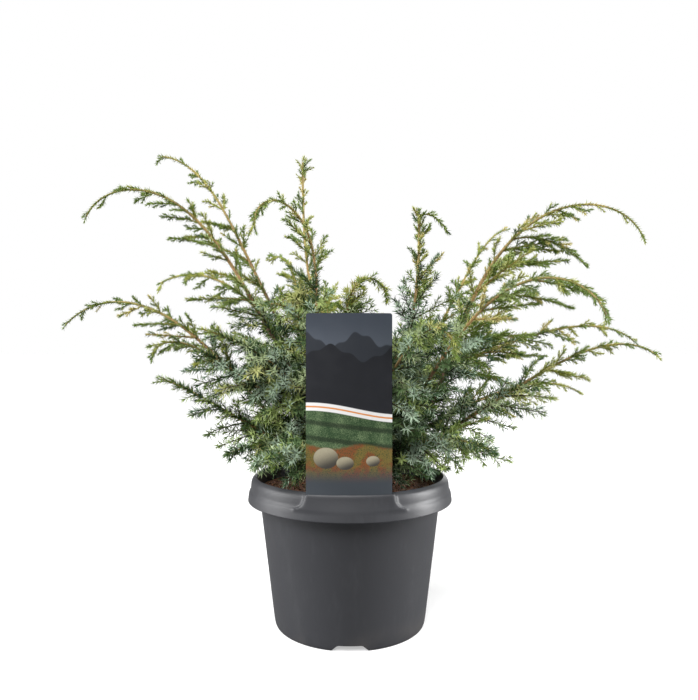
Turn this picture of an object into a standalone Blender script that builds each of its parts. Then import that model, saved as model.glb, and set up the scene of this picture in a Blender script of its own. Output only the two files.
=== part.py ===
"""A young Chinese juniper growing in a moulded nursery pot, with a picture label in the rim.

Metres, +Z up. The origin is on the floor, under the pot's middle, and the label faces -Y.
"""

import math
import random
from collections import namedtuple

import bmesh
import bpy
import numpy as np
from mathutils import Matrix
from mathutils.bvhtree import BVHTree

GAP = 0.0003

# Pot
LIP_RADIUS = 0.095
LIP_BOTTOM = 0.114
RIM_TOP = 0.1363
RIM_INNER = 0.0870
RIM_EDGE = 0.0884
RIM_SHOULDER = (0.0915, 0.1330)
RIM_RIDGE = (0.0925, 0.1250)
RIM_ROUND = 0.0010
RIM_STEP = 0.0015
LIP_FACE = 0.0030
NECK_RADIUS = 0.0838
FOOT_RADIUS = 0.0710
FOOT_CORNER = 0.0692
FOOT_HEIGHT = 0.0080
FOOT_BEVEL = 0.0025
WALL = 0.0020
SHOULDER = 0.1165
FLOOR_LOW = 0.0060
FLOOR_TOP = 0.0085
FOOT_WIDTH = 0.0040
CENTRE_PAD = 0.0120
DRAIN_HOLES = 4
DRAIN_RADIUS = 0.0060
DRAIN_CIRCLE = 0.0450
DRAIN_SIDES = 10
NOTCHES = 3
NOTCH_TOP = 0.0210
NOTCH_BOTTOM = 0.0300
POT_STEPS = 40

# Label and the pocket that holds it
LABEL_WIDTH = 0.0700
LABEL_TOP = 0.2825
LABEL_FOOT = 0.1215
LABEL_THICK = 0.0006
LABEL_SHIFT = -0.0008
LABEL_FRONT = 0.0906
LABEL_BEND = 0.1600
LABEL_CORNER = 0.0020
LABEL_STEPS = 8
POCKET_ANGLE = math.radians(23.8)
POCKET_INNER = 0.0862
POCKET_STEPS = 10

# Soil, a little higher in the middle
SOIL_STEPS = 24
SOIL_EDGE = 0.1235
SOIL_TOP = 0.1250
SOIL_DOME = 0.0480

# Trunk
TRUNK_HEIGHT = 0.0900
TRUNK_FLARE = 0.0105
TRUNK_RADIUS = 0.0072
TRUNK_TIP = 0.0038
TRUNK_LEAN = math.radians(-3)
TRUNK_SIDES = 16
TRUNK_RINGS = 7
FLARE_SHARE = 0.18

# Boughs and the arcs that they follow. A shoot leaves the trunk at its foot (a height above
# the soil) at the elevation spread, turns up to rise and bends over to tip, in degrees. Up to
# bare, as a share of its length, it is a limb of its own; reach is its longest side spray.
TURN = 0.30
SWAY = 6
BOUGH_SIDES = 5
BOUGH_RINGS = 4
LIMB_BASE = 0.0012
LIMB_GROWTH = 0.0038
LIMB_TIP = 0.0005
Shoot = namedtuple("Shoot", "name heading foot spread rise tip bend length bare reach")
SHOOTS = [
    Shoot("left_high", 164, 0.070, 39, 63, 6, 4.2, 0.336, 0.25, 0.036),
    Shoot("left_arch", 186, 0.054, 40, 61, -75, 3.2, 0.361, 0.25, 0.042),
    Shoot("left_mid", 150, 0.044, 52, 53, -20, 1.4, 0.324, 0.25, 0.032),
    Shoot("left_low", 172, 0.030, 12, 47.6, -50, 2.27, 0.3485, 0.25, 0.038),
    Shoot("left_front", 210, 0.038, 26, 34, -67, 8.0, 0.211, 0.25, 0.038),
    Shoot("left_foot", 192, 0.016, 10, 31, 12, 8.0, 0.195, 0.25, 0.034),
    Shoot("crown_tall", 112, 0.078, 52, 52, 95, 1.2, 0.296, 0.25, 0.034),
    Shoot("crown_nod", 230, 0.080, 10, 92, -118, 3.0, 0.264, 0.25, 0.030),
    Shoot("crown_short", 132, 0.060, 48, 65, -27, 5.3, 0.219, 0.25, 0.028),
    Shoot("crown_back", 50, 0.082, 52, 108.6, -84, 1.66, 0.173, 0.25, 0.018),
    Shoot("right_tall", 4, 0.066, 10, 67, 92, 0.6, 0.226, 0.25, 0.056),
    Shoot("right_high", 30, 0.034, 10, 59, 7, 8.0, 0.317, 0.25, 0.040),
    Shoot("right_arch", 352, 0.026, 10, 70.2, -74, 2.66, 0.405, 0.25, 0.080),
    Shoot("right_front", 320, 0.040, 10, 54.3, -77, 2.5, 0.314, 0.25, 0.044),
    Shoot("right_back", 16, 0.048, 45, 19.3, -41, 3.9, 0.355, 0.25, 0.040),
    Shoot("right_low", 348, 0.010, 14, 33.6, -51, 5.4, 0.308, 0.25, 0.046),
    Shoot("right_foot", 30, 0.010, 22, 20, -28, 2.8, 0.334, 0.25, 0.044),
    Shoot("front_arch", 300, 0.056, 27, 47, -49, 2.4, 0.196, 0.25, 0.030),
    Shoot("front_left", 238, 0.050, 40, 62, -20, 2.6, 0.175, 0.25, 0.030),
    Shoot("back_arch", 97, 0.054, 40, 46, -38, 1.8, 0.300, 0.25, 0.040),
    Shoot("back_low", 70, 0.024, 20, 42, -45, 2.6, 0.280, 0.25, 0.038),
]

# Bushy masses that grow straight from the trunk, tier above tier. In each three of a tier the second is
# longer than the first by the share uneven, and the third by twice that.
Tier = namedtuple("Tier", "name count heading foot spread rise tip bend length reach uneven")
TIERS = [
    Tier("low", 6, 20, 0.012, 20, 24, -22, 1.6, 0.128, 0.046, 0.12),
    Tier("mid", 5, 0, 0.042, 35, 44, 12, 1.5, 0.180, 0.052, 0.03),
    Tier("top", 3, 340, 0.072, 50, 68, 74, 1.2, 0.092, 0.042, 0.14),
]
TIER_STAGGER = 0.004
HEADING_STEP = 7
HEADING_TRIES = 50

# Foliage. A spray of needles is a toothed blade: its outline is (along, half width), in lengths.
GOLDEN_ANGLE = math.radians(137.5)
TURN_SPREAD = 0.25
LEAN = (math.radians(52), math.radians(34))
LEAN_SPREAD = 0.1
ROLL_SPREAD = 0.6
SIZES = (0.82, 1.12)
STEM_SIDES = 3
STEM_RINGS = 7
TIER_RINGS = 5
SPRAY_PITCH = 0.0225
TIER_PITCH = 0.0140
SPRAY_HALF = [(0, 0.05), (0.42, 0.22), (0.50, 0.08), (0.74, 0.15), (1, 0)]
SPRAY_CENTRE = 0.34
SPRAY_THICK = 0.12
SPRAY_LEAST = 0.009
SPRAY_SINK = 0.0006
END_SPRAY = 0.0165
END_REACH = 0.012
# Side shoots keep their full reach up to the first share of a mass and shorten up to the second. They are
# longer on the limb's outer, lower side by the share HANG, and shorter by as much above.
REACH_FADE = (0.25, 0.85)
HANG = 0.35

# Long side twigs, on a shoot whose reach calls for them
TWIG_REACH = 0.0675
TWIG_LEAST = 0.0450
TWIG_DROOP = 0.55
TWIG_RADIUS = (0.0011, 0.0006)
TWIG_RINGS = 3
TWIG_END = 0.8
TWIG_SPRAYS = 2
TWIG_SPRAY = 0.45
WELDS = (0.0000015, 0.000005, 0.000015)

COLOURS = {
    "pot": ((0.060, 0.064, 0.070), 0.42),
    "soil": ((0.040, 0.018, 0.011), 0.95),
    "label": ((0.075, 0.085, 0.098), 0.35),
    "bark": ((0.150, 0.075, 0.036), 0.85),
    "needle": ((0.150, 0.230, 0.140), 0.60),
}


def clear_scene():
    for obj in list(bpy.data.objects):
        bpy.data.objects.remove(obj, do_unlink=True)


def new_collection(name):
    made = bpy.data.collections.new(name)
    bpy.context.scene.collection.children.link(made)
    return made


def material(name):
    colour, roughness = COLOURS[name]
    made = bpy.data.materials.new(name)
    made.use_nodes = True
    shader = made.node_tree.nodes["Principled BSDF"]
    shader.inputs["Base Color"].default_value = (*colour, 1)
    shader.inputs["Roughness"].default_value = roughness
    shader.inputs["Metallic"].default_value = 0
    made.diffuse_color = (*colour, 1)
    return made


def new_object(name, mesh, home, finish=None):
    obj = bpy.data.objects.new(name, mesh)
    home.objects.link(obj)
    if finish:
        mesh.materials.clear()
        mesh.materials.append(finish)
    return obj


def shade_round(mesh):
    mesh.shade_smooth()
    mesh.set_sharp_from_angle(angle=math.radians(35))


def mesh_from(bm, name):
    mesh = bpy.data.meshes.new(name)
    bm.to_mesh(mesh)
    bm.free()
    return mesh


def evaluated_mesh(obj):
    graph = bpy.context.evaluated_depsgraph_get()
    graph.update()
    return bpy.data.meshes.new_from_object(obj.evaluated_get(graph))


def apply_modifiers(obj):
    """Swap the object's mesh for the one that its modifiers make, and drop the modifiers."""
    mesh = evaluated_mesh(obj)
    obj.modifiers.clear()
    obj.data = mesh


def boolean(obj, operation, other=None, group=None, solver="EXACT"):
    modifier = obj.modifiers.new(operation.lower(), "BOOLEAN")
    modifier.operation = operation
    modifier.solver = solver
    if group:
        modifier.operand_type = "COLLECTION"
        modifier.collection = group
    else:
        modifier.object = other


def helper(obj):
    obj.hide_render = True
    obj.display_type = "WIRE"
    return obj


def turned(name, profile, home, finish, steps):
    """A solid of revolution from (radius, height) points, listed down its outer side."""
    bm = bmesh.new()
    corners = [bm.verts.new((radius, 0, height)) for radius, height in profile]
    for first, second in zip(corners, corners[1:]):
        bm.edges.new((first, second))
    obj = new_object(name, mesh_from(bm, name), home, finish)
    screw = obj.modifiers.new("turn", "SCREW")
    screw.steps = steps
    screw.render_steps = steps
    screw.use_merge_vertices = True
    screw.merge_threshold = 0.00001
    apply_modifiers(obj)
    shade_round(obj.data)
    return obj


def extruded(name, outline, start, end, home):
    """A prism from an outline of (x, y) points, from height start to height end."""
    bm = bmesh.new()
    face = bm.faces.new([bm.verts.new((x, y, start)) for x, y in outline])
    made = bmesh.ops.extrude_face_region(bm, geom=[face])
    raised = [item for item in made["geom"] if isinstance(item, bmesh.types.BMVert)]
    bmesh.ops.translate(bm, verts=raised, vec=(0, 0, end - start))
    bmesh.ops.recalc_face_normals(bm, faces=bm.faces)
    return new_object(name, mesh_from(bm, name), home)


def arc_band(inner, outer, half_angle, steps, centre=(0, 0)):
    """The outline of a band between two radii, either side of -Y."""
    angles = [half_angle * (2 * step / steps - 1) for step in range(steps + 1)]
    outside = [(centre[0] + outer * math.sin(a), centre[1] - outer * math.cos(a)) for a in angles]
    inside = [(centre[0] + inner * math.sin(a), centre[1] - inner * math.cos(a)) for a in angles]
    return outside + inside[::-1]


def wall_inner(height):
    """The inner radius of the pot's body at a height below the shoulder."""
    share = (height - FLOOR_TOP) / (SHOULDER - FLOOR_TOP)
    return FOOT_RADIUS - WALL + share * (NECK_RADIUS - FOOT_RADIUS)


def pot_profile():
    inside = [
        (0, FLOOR_TOP),
        (wall_inner(FLOOR_TOP), FLOOR_TOP),
        (wall_inner(SHOULDER), SHOULDER),
        (RIM_INNER, SHOULDER + RIM_STEP),
        (RIM_INNER, RIM_TOP - RIM_ROUND),
        (RIM_INNER + RIM_ROUND, RIM_TOP),
    ]
    outside = [
        (RIM_EDGE, RIM_TOP),
        RIM_SHOULDER,
        RIM_RIDGE,
        (LIP_RADIUS, LIP_BOTTOM + LIP_FACE),
        (LIP_RADIUS, LIP_BOTTOM),
        (NECK_RADIUS, LIP_BOTTOM),
        (FOOT_RADIUS, FOOT_HEIGHT),
        ((FOOT_RADIUS + FOOT_CORNER) / 2, FOOT_BEVEL),
        (FOOT_CORNER, 0),
    ]
    under = [
        (FOOT_CORNER - FOOT_WIDTH, 0),
        (FOOT_CORNER - FOOT_WIDTH, FLOOR_LOW),
        (CENTRE_PAD, FLOOR_LOW),
        (CENTRE_PAD, 0),
        (0, 0),
    ]
    return inside + outside + under


def label_outline(spare, half_width):
    """The label's curved section seen from above, grown by spare on each face."""
    centre = (LABEL_SHIFT, LABEL_BEND - LABEL_FRONT)
    half_angle = math.asin(half_width / LABEL_BEND)
    inner = LABEL_BEND - LABEL_THICK - spare
    return arc_band(inner, LABEL_BEND + spare, half_angle, LABEL_STEPS, centre)


def notch_cutter(home, turn):
    """A trapezoid that cuts the foot ring, wider at the floor and running a little below it."""
    below = FLOOR_LOW / 3
    slope = (NOTCH_BOTTOM - NOTCH_TOP) / 2 / FLOOR_LOW
    half_top = NOTCH_TOP / 2
    half_low = NOTCH_BOTTOM / 2 + slope * below
    outline = [(-half_low, -below), (half_low, -below), (half_top, FLOOR_LOW), (-half_top, FLOOR_LOW)]
    cutter = extruded("notch_cutter", outline, FOOT_CORNER - 2 * FOOT_WIDTH, LIP_RADIUS, home)
    stand = Matrix.Rotation(math.pi / 2, 4, "X")
    cutter.data.transform(Matrix.Rotation(turn, 4, "Z") @ stand)
    return helper(cutter)


def drain_cutter(home, turn):
    bm = bmesh.new()
    place = Matrix.Rotation(turn, 4, "Z") @ Matrix.Translation((DRAIN_CIRCLE, 0, FLOOR_LOW))
    size = {"radius1": DRAIN_RADIUS, "radius2": DRAIN_RADIUS, "depth": 2 * FLOOR_TOP}
    bmesh.ops.create_cone(bm, cap_ends=True, segments=DRAIN_SIDES, matrix=place, **size)
    return helper(new_object("drain_cutter", mesh_from(bm, "drain_cutter"), home))


def make_pot(home, cutters, finish):
    """The turned pot, with its label pocket joined on and the slot, notches and drain holes cut."""
    pot = turned("pot", pot_profile(), home, finish, POT_STEPS)
    pocket_outline = arc_band(POCKET_INNER, LIP_RADIUS, POCKET_ANGLE, POCKET_STEPS)
    pocket = extruded("pocket", pocket_outline, LIP_BOTTOM + RIM_ROUND, RIM_TOP - GAP, cutters)
    slot_outline = label_outline(GAP, LABEL_WIDTH / 2 + GAP)
    slot = extruded("slot_cutter", slot_outline, LABEL_FOOT - GAP, LABEL_TOP, cutters)
    boolean(pot, "UNION", helper(pocket))
    boolean(pot, "DIFFERENCE", helper(slot))
    for number in range(NOTCHES):
        boolean(pot, "DIFFERENCE", notch_cutter(cutters, math.tau * number / NOTCHES))
    for number in range(DRAIN_HOLES):
        boolean(pot, "DIFFERENCE", drain_cutter(cutters, math.tau * (number + 0.5) / DRAIN_HOLES))
    return pot


def make_soil(home, finish):
    rim = POCKET_INNER - 2 * GAP
    profile = [
        (0, SOIL_TOP),
        (SOIL_DOME, SOIL_TOP - GAP),
        (rim, SOIL_EDGE),
        (rim, SHOULDER + RIM_STEP + 2 * GAP),
        (wall_inner(SHOULDER) - 2 * GAP, SHOULDER + 2 * GAP),
        (wall_inner(FLOOR_TOP) - 2 * GAP, FLOOR_TOP + GAP),
        (0, FLOOR_TOP + GAP),
    ]
    return turned("soil", profile, home, finish, SOIL_STEPS)


def make_label(home, cutters, finish):
    """The bent card, cut to its width with two rounded upper corners."""
    band = label_outline(0, LABEL_WIDTH / 2)
    label = extruded("label", band, LABEL_FOOT, LABEL_TOP, home)
    label.data.materials.append(finish)
    half = LABEL_WIDTH / 2
    centre = (half - LABEL_CORNER, LABEL_TOP - LABEL_CORNER)
    turns = [math.radians(angle) for angle in (0, 30, 60, 90)]
    right = [(centre[0] + LABEL_CORNER * math.cos(a), centre[1] + LABEL_CORNER * math.sin(a)) for a in turns]
    left = [(-x, z) for x, z in reversed(right)]
    foot = LABEL_FOOT - LABEL_CORNER
    outline = [(-half - GAP, foot), (half + GAP, foot)] + right + left
    shape = extruded("label_shape", outline, NECK_RADIUS, LIP_RADIUS, cutters)
    stand = Matrix.Rotation(math.pi / 2, 4, "X")
    shape.data.transform(Matrix.Translation((LABEL_SHIFT, 0, 0)) @ stand)
    boolean(label, "INTERSECT", helper(shape))
    return label


def unit(vector):
    return vector / np.linalg.norm(vector)


class Axis:
    """A smooth line through space, with a frame of tangent, side and normal along it."""

    def __init__(self, points, side):
        self.points = points
        steps = np.linalg.norm(np.diff(points, axis=0), axis=1)
        self.travel = np.concatenate([[0], np.cumsum(steps)])
        self.length = self.travel[-1]
        self.side = np.array(side, float)

    def point(self, share):
        along = share * self.length
        return np.array([np.interp(along, self.travel, self.points[:, axis]) for axis in range(3)])

    def frame(self, share):
        nudge = 0.01
        tangent = unit(self.point(min(1, share + nudge)) - self.point(max(0, share - nudge)))
        side = unit(self.side - tangent * (self.side @ tangent))
        return tangent, side, np.cross(side, tangent)


def trunk_point(height):
    return np.array([math.tan(TRUNK_LEAN) * height, 0, SOIL_TOP + GAP + height])


def trunk_radius(share):
    flare = (TRUNK_FLARE - TRUNK_RADIUS) * max(0, 1 - share / FLARE_SHARE) ** 2
    return TRUNK_RADIUS + (TRUNK_TIP - TRUNK_RADIUS) * share + flare


def shoot_axis(shoot, samples=80):
    """The shoot's arc from the trunk's middle: up from spread to rise, then over to tip."""
    share = (np.arange(samples) + 0.5) / samples
    turned_up = np.clip(share / TURN, 0, 1)
    turned_up = turned_up * turned_up * (3 - 2 * turned_up)
    bent_over = np.clip((share - TURN) / (1 - TURN), 0, 1) ** shoot.bend
    degrees = shoot.spread + (shoot.rise - shoot.spread) * turned_up + (shoot.tip - shoot.rise) * bent_over
    elevation = np.radians(degrees)
    heading = np.radians(shoot.heading + SWAY * np.sin(math.tau * share))
    level = np.cos(elevation)
    steps = np.stack([level * np.cos(heading), level * np.sin(heading), np.sin(elevation)], 1)
    points = np.cumsum(steps * shoot.length / samples, 0)
    points = np.concatenate([[[0, 0, 0]], points]) + trunk_point(shoot.foot)
    across = math.radians(shoot.heading)
    return Axis(points, (-math.sin(across), math.cos(across), 0))


def twig_axis(start, direction, length, samples=12):
    """The line of a long side twig, which droops as it goes."""
    share = (np.arange(samples) + 0.5) / samples
    down = np.array([0, 0, -TWIG_DROOP])
    steps = np.array([unit(direction + down * part) for part in share]) * length / samples
    points = np.concatenate([[[0, 0, 0]], np.cumsum(steps, 0)]) + start
    side = np.cross(direction, (0, 0, 1.0))
    return Axis(points, side if np.linalg.norm(side) > 0.1 else (1, 0, 0))


def limb_taper(length):
    """The radius of a shoot of this length at each share of it."""
    base = LIMB_BASE + LIMB_GROWTH * length
    return lambda share: LIMB_TIP + (base - LIMB_TIP) * (1 - share) ** 0.8


def twig_taper(share):
    return TWIG_RADIUS[0] + (TWIG_RADIUS[1] - TWIG_RADIUS[0]) * share


def clear_of_trunk(axis, taper):
    """The first share of the axis at which a flat end stands just clear of the trunk."""
    for share in np.arange(0.001, 0.4, 0.001):
        normal = axis.frame(share)[2]
        edges = [axis.point(share) + side * taper(share) * normal for side in (-1, 1)]
        if min(outside_trunk(edge) for edge in edges) > 1.6 * GAP:
            break
    return share


def outside_trunk(point):
    """How far a point stands out from the trunk's side at its own height."""
    height = min(max(point[2] - SOIL_TOP - GAP, 0), TRUNK_HEIGHT)
    return np.linalg.norm((point - trunk_point(height))[:2]) - trunk_radius(height / TRUNK_HEIGHT)


def limb_mesh(axis, taper, start, end, rings, sides, level=False):
    """A tapering limb along part of an axis: rings of points, bridged, with flat ends."""
    bm = bmesh.new()
    loops = []
    for share in np.linspace(start, end, rings + 1):
        centre = axis.point(share)
        side, normal = np.eye(3)[:2] if level else axis.frame(share)[1:]
        radius = taper(share)
        angles = [math.tau * corner / sides for corner in range(sides)]
        ring = [centre + radius * (math.cos(a) * side + math.sin(a) * normal) for a in angles]
        loops.append([bm.verts.new(point) for point in ring])
    for low, high in zip(loops, loops[1:]):
        for corner in range(sides):
            after = (corner + 1) % sides
            bm.faces.new((low[corner], low[after], high[after], high[corner]))
    bm.faces.new(loops[0])
    bm.faces.new(loops[-1])
    bmesh.ops.recalc_face_normals(bm, faces=bm.faces)
    return mesh_from(bm, "limb")


def spray_template():
    """A spray one metre long, along +X: a double cone whose rim is pulled to the toothed outline."""
    outline = SPRAY_HALF + [(along, -width) for along, width in reversed(SPRAY_HALF[:-1])]
    bm = bmesh.new()
    for side in (1, -1):
        cone = {"radius1": 1, "radius2": 0, "depth": 2, "cap_ends": False}
        made = bmesh.ops.create_cone(bm, segments=len(outline), **cone)["verts"]
        rim = [vert for vert in made if vert.co.to_2d().length > 0.5]
        rim.sort(key=lambda vert: math.atan2(vert.co.y, vert.co.x))
        for vert in set(made) - set(rim):
            vert.co = (SPRAY_CENTRE, 0, side / 2)
        for vert, (along, width) in zip(rim, outline):
            vert.co = (along, width, 0)
    bmesh.ops.remove_doubles(bm, verts=bm.verts, dist=0.000001)
    bmesh.ops.recalc_face_normals(bm, faces=bm.faces)
    return mesh_from(bm, "spray")


def spray_mesh(template, root, direction, across, length, spare=0):
    """The template laid at root along direction, its width along across, grown by spare all round."""
    across = unit(across - direction * (across @ direction))
    out = np.cross(direction, across)
    sizes = (length + 2 * spare, length + 4 * spare, length * SPRAY_THICK + 2 * spare)
    place = np.eye(4)
    place[:3, 0] = direction * sizes[0]
    place[:3, 1] = across * sizes[1]
    place[:3, 2] = out * sizes[2]
    place[:3, 3] = root - direction * spare
    mesh = template.copy()
    mesh.transform(Matrix(place.tolist()))
    return mesh


class Space:
    """The solids placed so far, for keeping each new piece clear of every other node."""

    def __init__(self):
        self.placed = []

    def add(self, node, mesh):
        self.placed.append((node, self.tree(mesh, 0)))

    def free(self, node, mesh, spare=GAP):
        own = self.tree(mesh, spare)
        return not any(other != node and own.overlap(tree) for other, tree in self.placed)

    @staticmethod
    def tree(mesh, spare):
        """The mesh as a search tree, pushed out by spare along its normals."""
        points = [vert.co + vert.normal * spare for vert in mesh.vertices]
        return BVHTree.FromPolygons(points, [face.vertices for face in mesh.polygons])


Side = namedtuple("Side", "share along direction across size")
Mass = namedtuple("Mass", "node axis start stem reach pitch")


def side_shoots(axis, start, count, seed, outer=False):
    """Side shoots from start to the axis's end, turning by the golden angle, or on its outer side."""
    draw = random.Random(seed)
    turn = draw.uniform(0, math.tau)
    for number in range(count):
        along = (number + 0.6) / count
        share = start + (1 - start) * along
        tangent, side, normal = axis.frame(share)
        turn += GOLDEN_ANGLE + draw.uniform(-TURN_SPREAD, TURN_SPREAD)
        rise = abs(math.sin(turn)) if outer else math.sin(turn)
        hang = 1 if outer else 1 + HANG * rise
        outward = math.cos(turn) * side + rise * normal
        lean = LEAN[0] + (LEAN[1] - LEAN[0]) * along + draw.uniform(-LEAN_SPREAD, LEAN_SPREAD)
        direction = unit(math.cos(lean) * tangent + math.sin(lean) * outward)
        roll = draw.uniform(-ROLL_SPREAD, ROLL_SPREAD)
        across = math.cos(roll) * np.cross(direction, outward) + math.sin(roll) * outward
        yield Side(share, along, direction, across, hang * draw.uniform(*SIZES))


def reach_at(mass, along):
    """How far side shoots reach there: in full near the bough, and little near the tip."""
    first, last = REACH_FADE
    fade = min(max((along - first) / (last - first), 0), 1)
    return mass.reach + (END_REACH - mass.reach) * fade * fade * (3 - 2 * fade)


def place_spray(mass, template, space, pieces, root, direction, across, length):
    """Add one blade to the mass's pieces, unless it would touch another node."""
    if space.free(mass.node, spray_mesh(template, root, direction, across, length, GAP)):
        blade = spray_mesh(template, root, direction, across, length)
        space.add(mass.node, blade)
        pieces.append(blade)


def place_twig(mass, template, space, pieces, root, direction, length, seed):
    """Add a long side twig: a three-sided stem with side sprays and one at its end."""
    axis = twig_axis(root, direction, length)
    stem = limb_mesh(axis, twig_taper, 0, TWIG_END, TWIG_RINGS, STEM_SIDES)
    if not space.free(mass.node, stem):
        return
    space.add(mass.node, stem)
    pieces.append(stem)
    for shoot in side_shoots(axis, 0.2, TWIG_SPRAYS, seed):
        size = TWIG_SPRAY * length * shoot.size
        point = axis.point(shoot.share)
        place_spray(mass, template, space, pieces, point, shoot.direction, shoot.across, size)
    base = axis.point(TWIG_END - 0.08)
    tangent, side, _ = axis.frame(TWIG_END)
    place_spray(mass, template, space, pieces, base, tangent, side, (1.08 - TWIG_END) * length)


def mass_pieces(mass, template, space, seed):
    """The blades and long twigs that stand on the mass's stem."""
    pieces = []
    axis = mass.axis
    end = 1 - 0.8 * END_SPRAY / axis.length
    base = axis.point(end)
    ahead = unit(axis.point(1) - base)
    place_spray(mass, template, space, pieces, base, ahead, axis.frame(end)[1], END_SPRAY)
    count = round(axis.length * (1 - mass.start) / mass.pitch)
    long_twigs = mass.reach > TWIG_REACH
    for number, shoot in enumerate(side_shoots(axis, mass.start, count, seed, long_twigs)):
        if shoot.share > end:
            continue
        length = max(SPRAY_LEAST, reach_at(mass, shoot.along) * shoot.size)
        root = axis.point(shoot.share) - shoot.direction * SPRAY_SINK
        if long_twigs and length > TWIG_LEAST:
            place_twig(mass, template, space, pieces, root, shoot.direction, length, 100 * seed + number)
        else:
            place_spray(mass, template, space, pieces, root, shoot.direction, shoot.across, length)
    return pieces


def shells(bm):
    """The separate closed shells of a mesh, largest first."""
    left = set(bm.faces)
    found = []
    while left:
        stack = [left.pop()]
        shell = list(stack)
        while stack:
            for edge in stack.pop().edges:
                fresh = [face for face in edge.link_faces if face in left]
                left.difference_update(fresh)
                stack.extend(fresh)
                shell.extend(fresh)
        corners = [[vert.co for vert in face.verts] for face in shell]
        found.append((sum(a.dot(b.cross(c)) for a, b, c in corners), shell))
    found.sort(key=lambda pair: -pair[0])
    return [shell for _, shell in found]


def cleaned(mesh, weld):
    """The mesh's one main shell in triangles: sealed hollows filled and loose scraps dropped."""
    bm = bmesh.new()
    bm.from_mesh(mesh)
    bmesh.ops.remove_doubles(bm, verts=bm.verts, dist=weld)
    bmesh.ops.dissolve_degenerate(bm, edges=bm.edges, dist=weld)
    bmesh.ops.triangulate(bm, faces=bm.faces)
    for shell in shells(bm)[1:]:
        bmesh.ops.delete(bm, geom=shell, context="FACES")
    loose = [vert for vert in bm.verts if not vert.link_faces]
    bmesh.ops.delete(bm, geom=loose, context="VERTS")
    closed = all(len(edge.link_faces) == 2 for edge in bm.edges)
    return mesh_from(bm, mesh.name), closed


def union(stem, pieces, cutters, solver):
    """The stem's mesh after one Boolean union with all the pieces, whose objects are then removed."""
    group = new_collection("to_fuse")
    for piece in pieces:
        new_object("piece", piece, group)
    base = new_object("stem", stem, cutters)
    boolean(base, "UNION", group=group, solver=solver)
    mesh = evaluated_mesh(base)
    for obj in [base, *group.objects]:
        bpy.data.objects.remove(obj, do_unlink=True)
    bpy.data.collections.remove(group)
    return mesh


def fuse(node, stem, pieces, home, cutters, finish):
    """A mass from its stem and sprays; one that neither solver closes gets fewer sprays."""
    for missing in [None, *range(len(pieces))]:
        used = [piece for number, piece in enumerate(pieces) if number != missing]
        for solver in ("EXACT", "MANIFOLD"):
            joined = union(stem, used, cutters, solver)
            for weld in WELDS:
                mesh, closed = cleaned(joined, weld)
                if closed:
                    return new_object(node, mesh, home, finish)
    return fuse(node, stem, pieces[1:], home, cutters, finish)


def make_trunk(home, finish):
    axis = Axis(np.array([trunk_point(0), trunk_point(TRUNK_HEIGHT)]), (0, 1, 0))
    mesh = limb_mesh(axis, trunk_radius, 0, 1, TRUNK_RINGS, TRUNK_SIDES, level=True)
    shade_round(mesh)
    return new_object("trunk", mesh, home, finish)


def make_boughs(home, space, finish):
    """Each shoot's bough as a node of its own, and the mass that carries on from its end."""
    masses = []
    for shoot in SHOOTS:
        axis = shoot_axis(shoot)
        taper = limb_taper(axis.length)
        start = clear_of_trunk(axis, taper)
        bough = limb_mesh(axis, taper, start, shoot.bare, BOUGH_RINGS, BOUGH_SIDES)
        new_object("bough_" + shoot.name, bough, home, finish)
        space.add("bough_" + shoot.name, bough)
        root = shoot.bare + GAP / axis.length
        stem = limb_mesh(axis, taper, root, 1 - 0.7 * END_SPRAY / axis.length, STEM_RINGS, STEM_SIDES)
        masses.append(Mass("foliage_" + shoot.name, axis, root, stem, shoot.reach, SPRAY_PITCH))
    for mass in masses:
        space.add(mass.node, mass.stem)
    return masses


def tier_mass(tier, number, turn):
    """One mass of a tier, turned from its place round the trunk by so many degrees."""
    heading = tier.heading + 360 * number / tier.count + turn
    length = tier.length * (1 + tier.uneven * (number % 3))
    foot = tier.foot + TIER_STAGGER * (number % 2)
    arc = (tier.spread, tier.rise, tier.tip, tier.bend)
    axis = shoot_axis(Shoot(tier.name, heading, foot, *arc, length, 0, tier.reach))
    taper = limb_taper(axis.length)
    start = clear_of_trunk(axis, taper)
    stem = limb_mesh(axis, taper, start, 1 - 0.7 * END_SPRAY / axis.length, TIER_RINGS, STEM_SIDES)
    return Mass(f"foliage_{tier.name}_{number + 1}", axis, start, stem, tier.reach, TIER_PITCH)


def make_tiers(space):
    """Masses straight on the trunk: each turns round it until its stem has a clear way out."""
    masses = []
    for tier in TIERS:
        for number in range(tier.count):
            for attempt in range(HEADING_TRIES):
                turn = HEADING_STEP * ((attempt + 1) // 2) * (-1) ** attempt
                mass = tier_mass(tier, number, turn)
                if space.free(mass.node, mass.stem, 2 * GAP):
                    break
            space.add(mass.node, mass.stem)
            masses.append(mass)
    return masses


def build():
    clear_scene()
    parts = new_collection("chinese_juniper_in_pot")
    cutters = new_collection("cutters")
    finishes = {name: material(name) for name in COLOURS}
    space = Space()
    pot = make_pot(parts, cutters, finishes["pot"])
    soil = make_soil(parts, finishes["soil"])
    label = make_label(parts, cutters, finishes["label"])
    trunk = make_trunk(parts, finishes["bark"])
    for obj in (pot, soil, label, trunk):
        space.add(obj.name, evaluated_mesh(obj))
    masses = make_boughs(parts, space, finishes["bark"])
    masses += make_tiers(space)
    template = spray_template()
    for seed, mass in enumerate(masses):
        pieces = mass_pieces(mass, template, space, seed)
        fuse(mass.node, mass.stem, pieces, parts, cutters, finishes["needle"])


build()
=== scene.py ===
import math
import random

import bmesh
import bpy
import numpy as np
from mathutils import Matrix, Vector, noise


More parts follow.
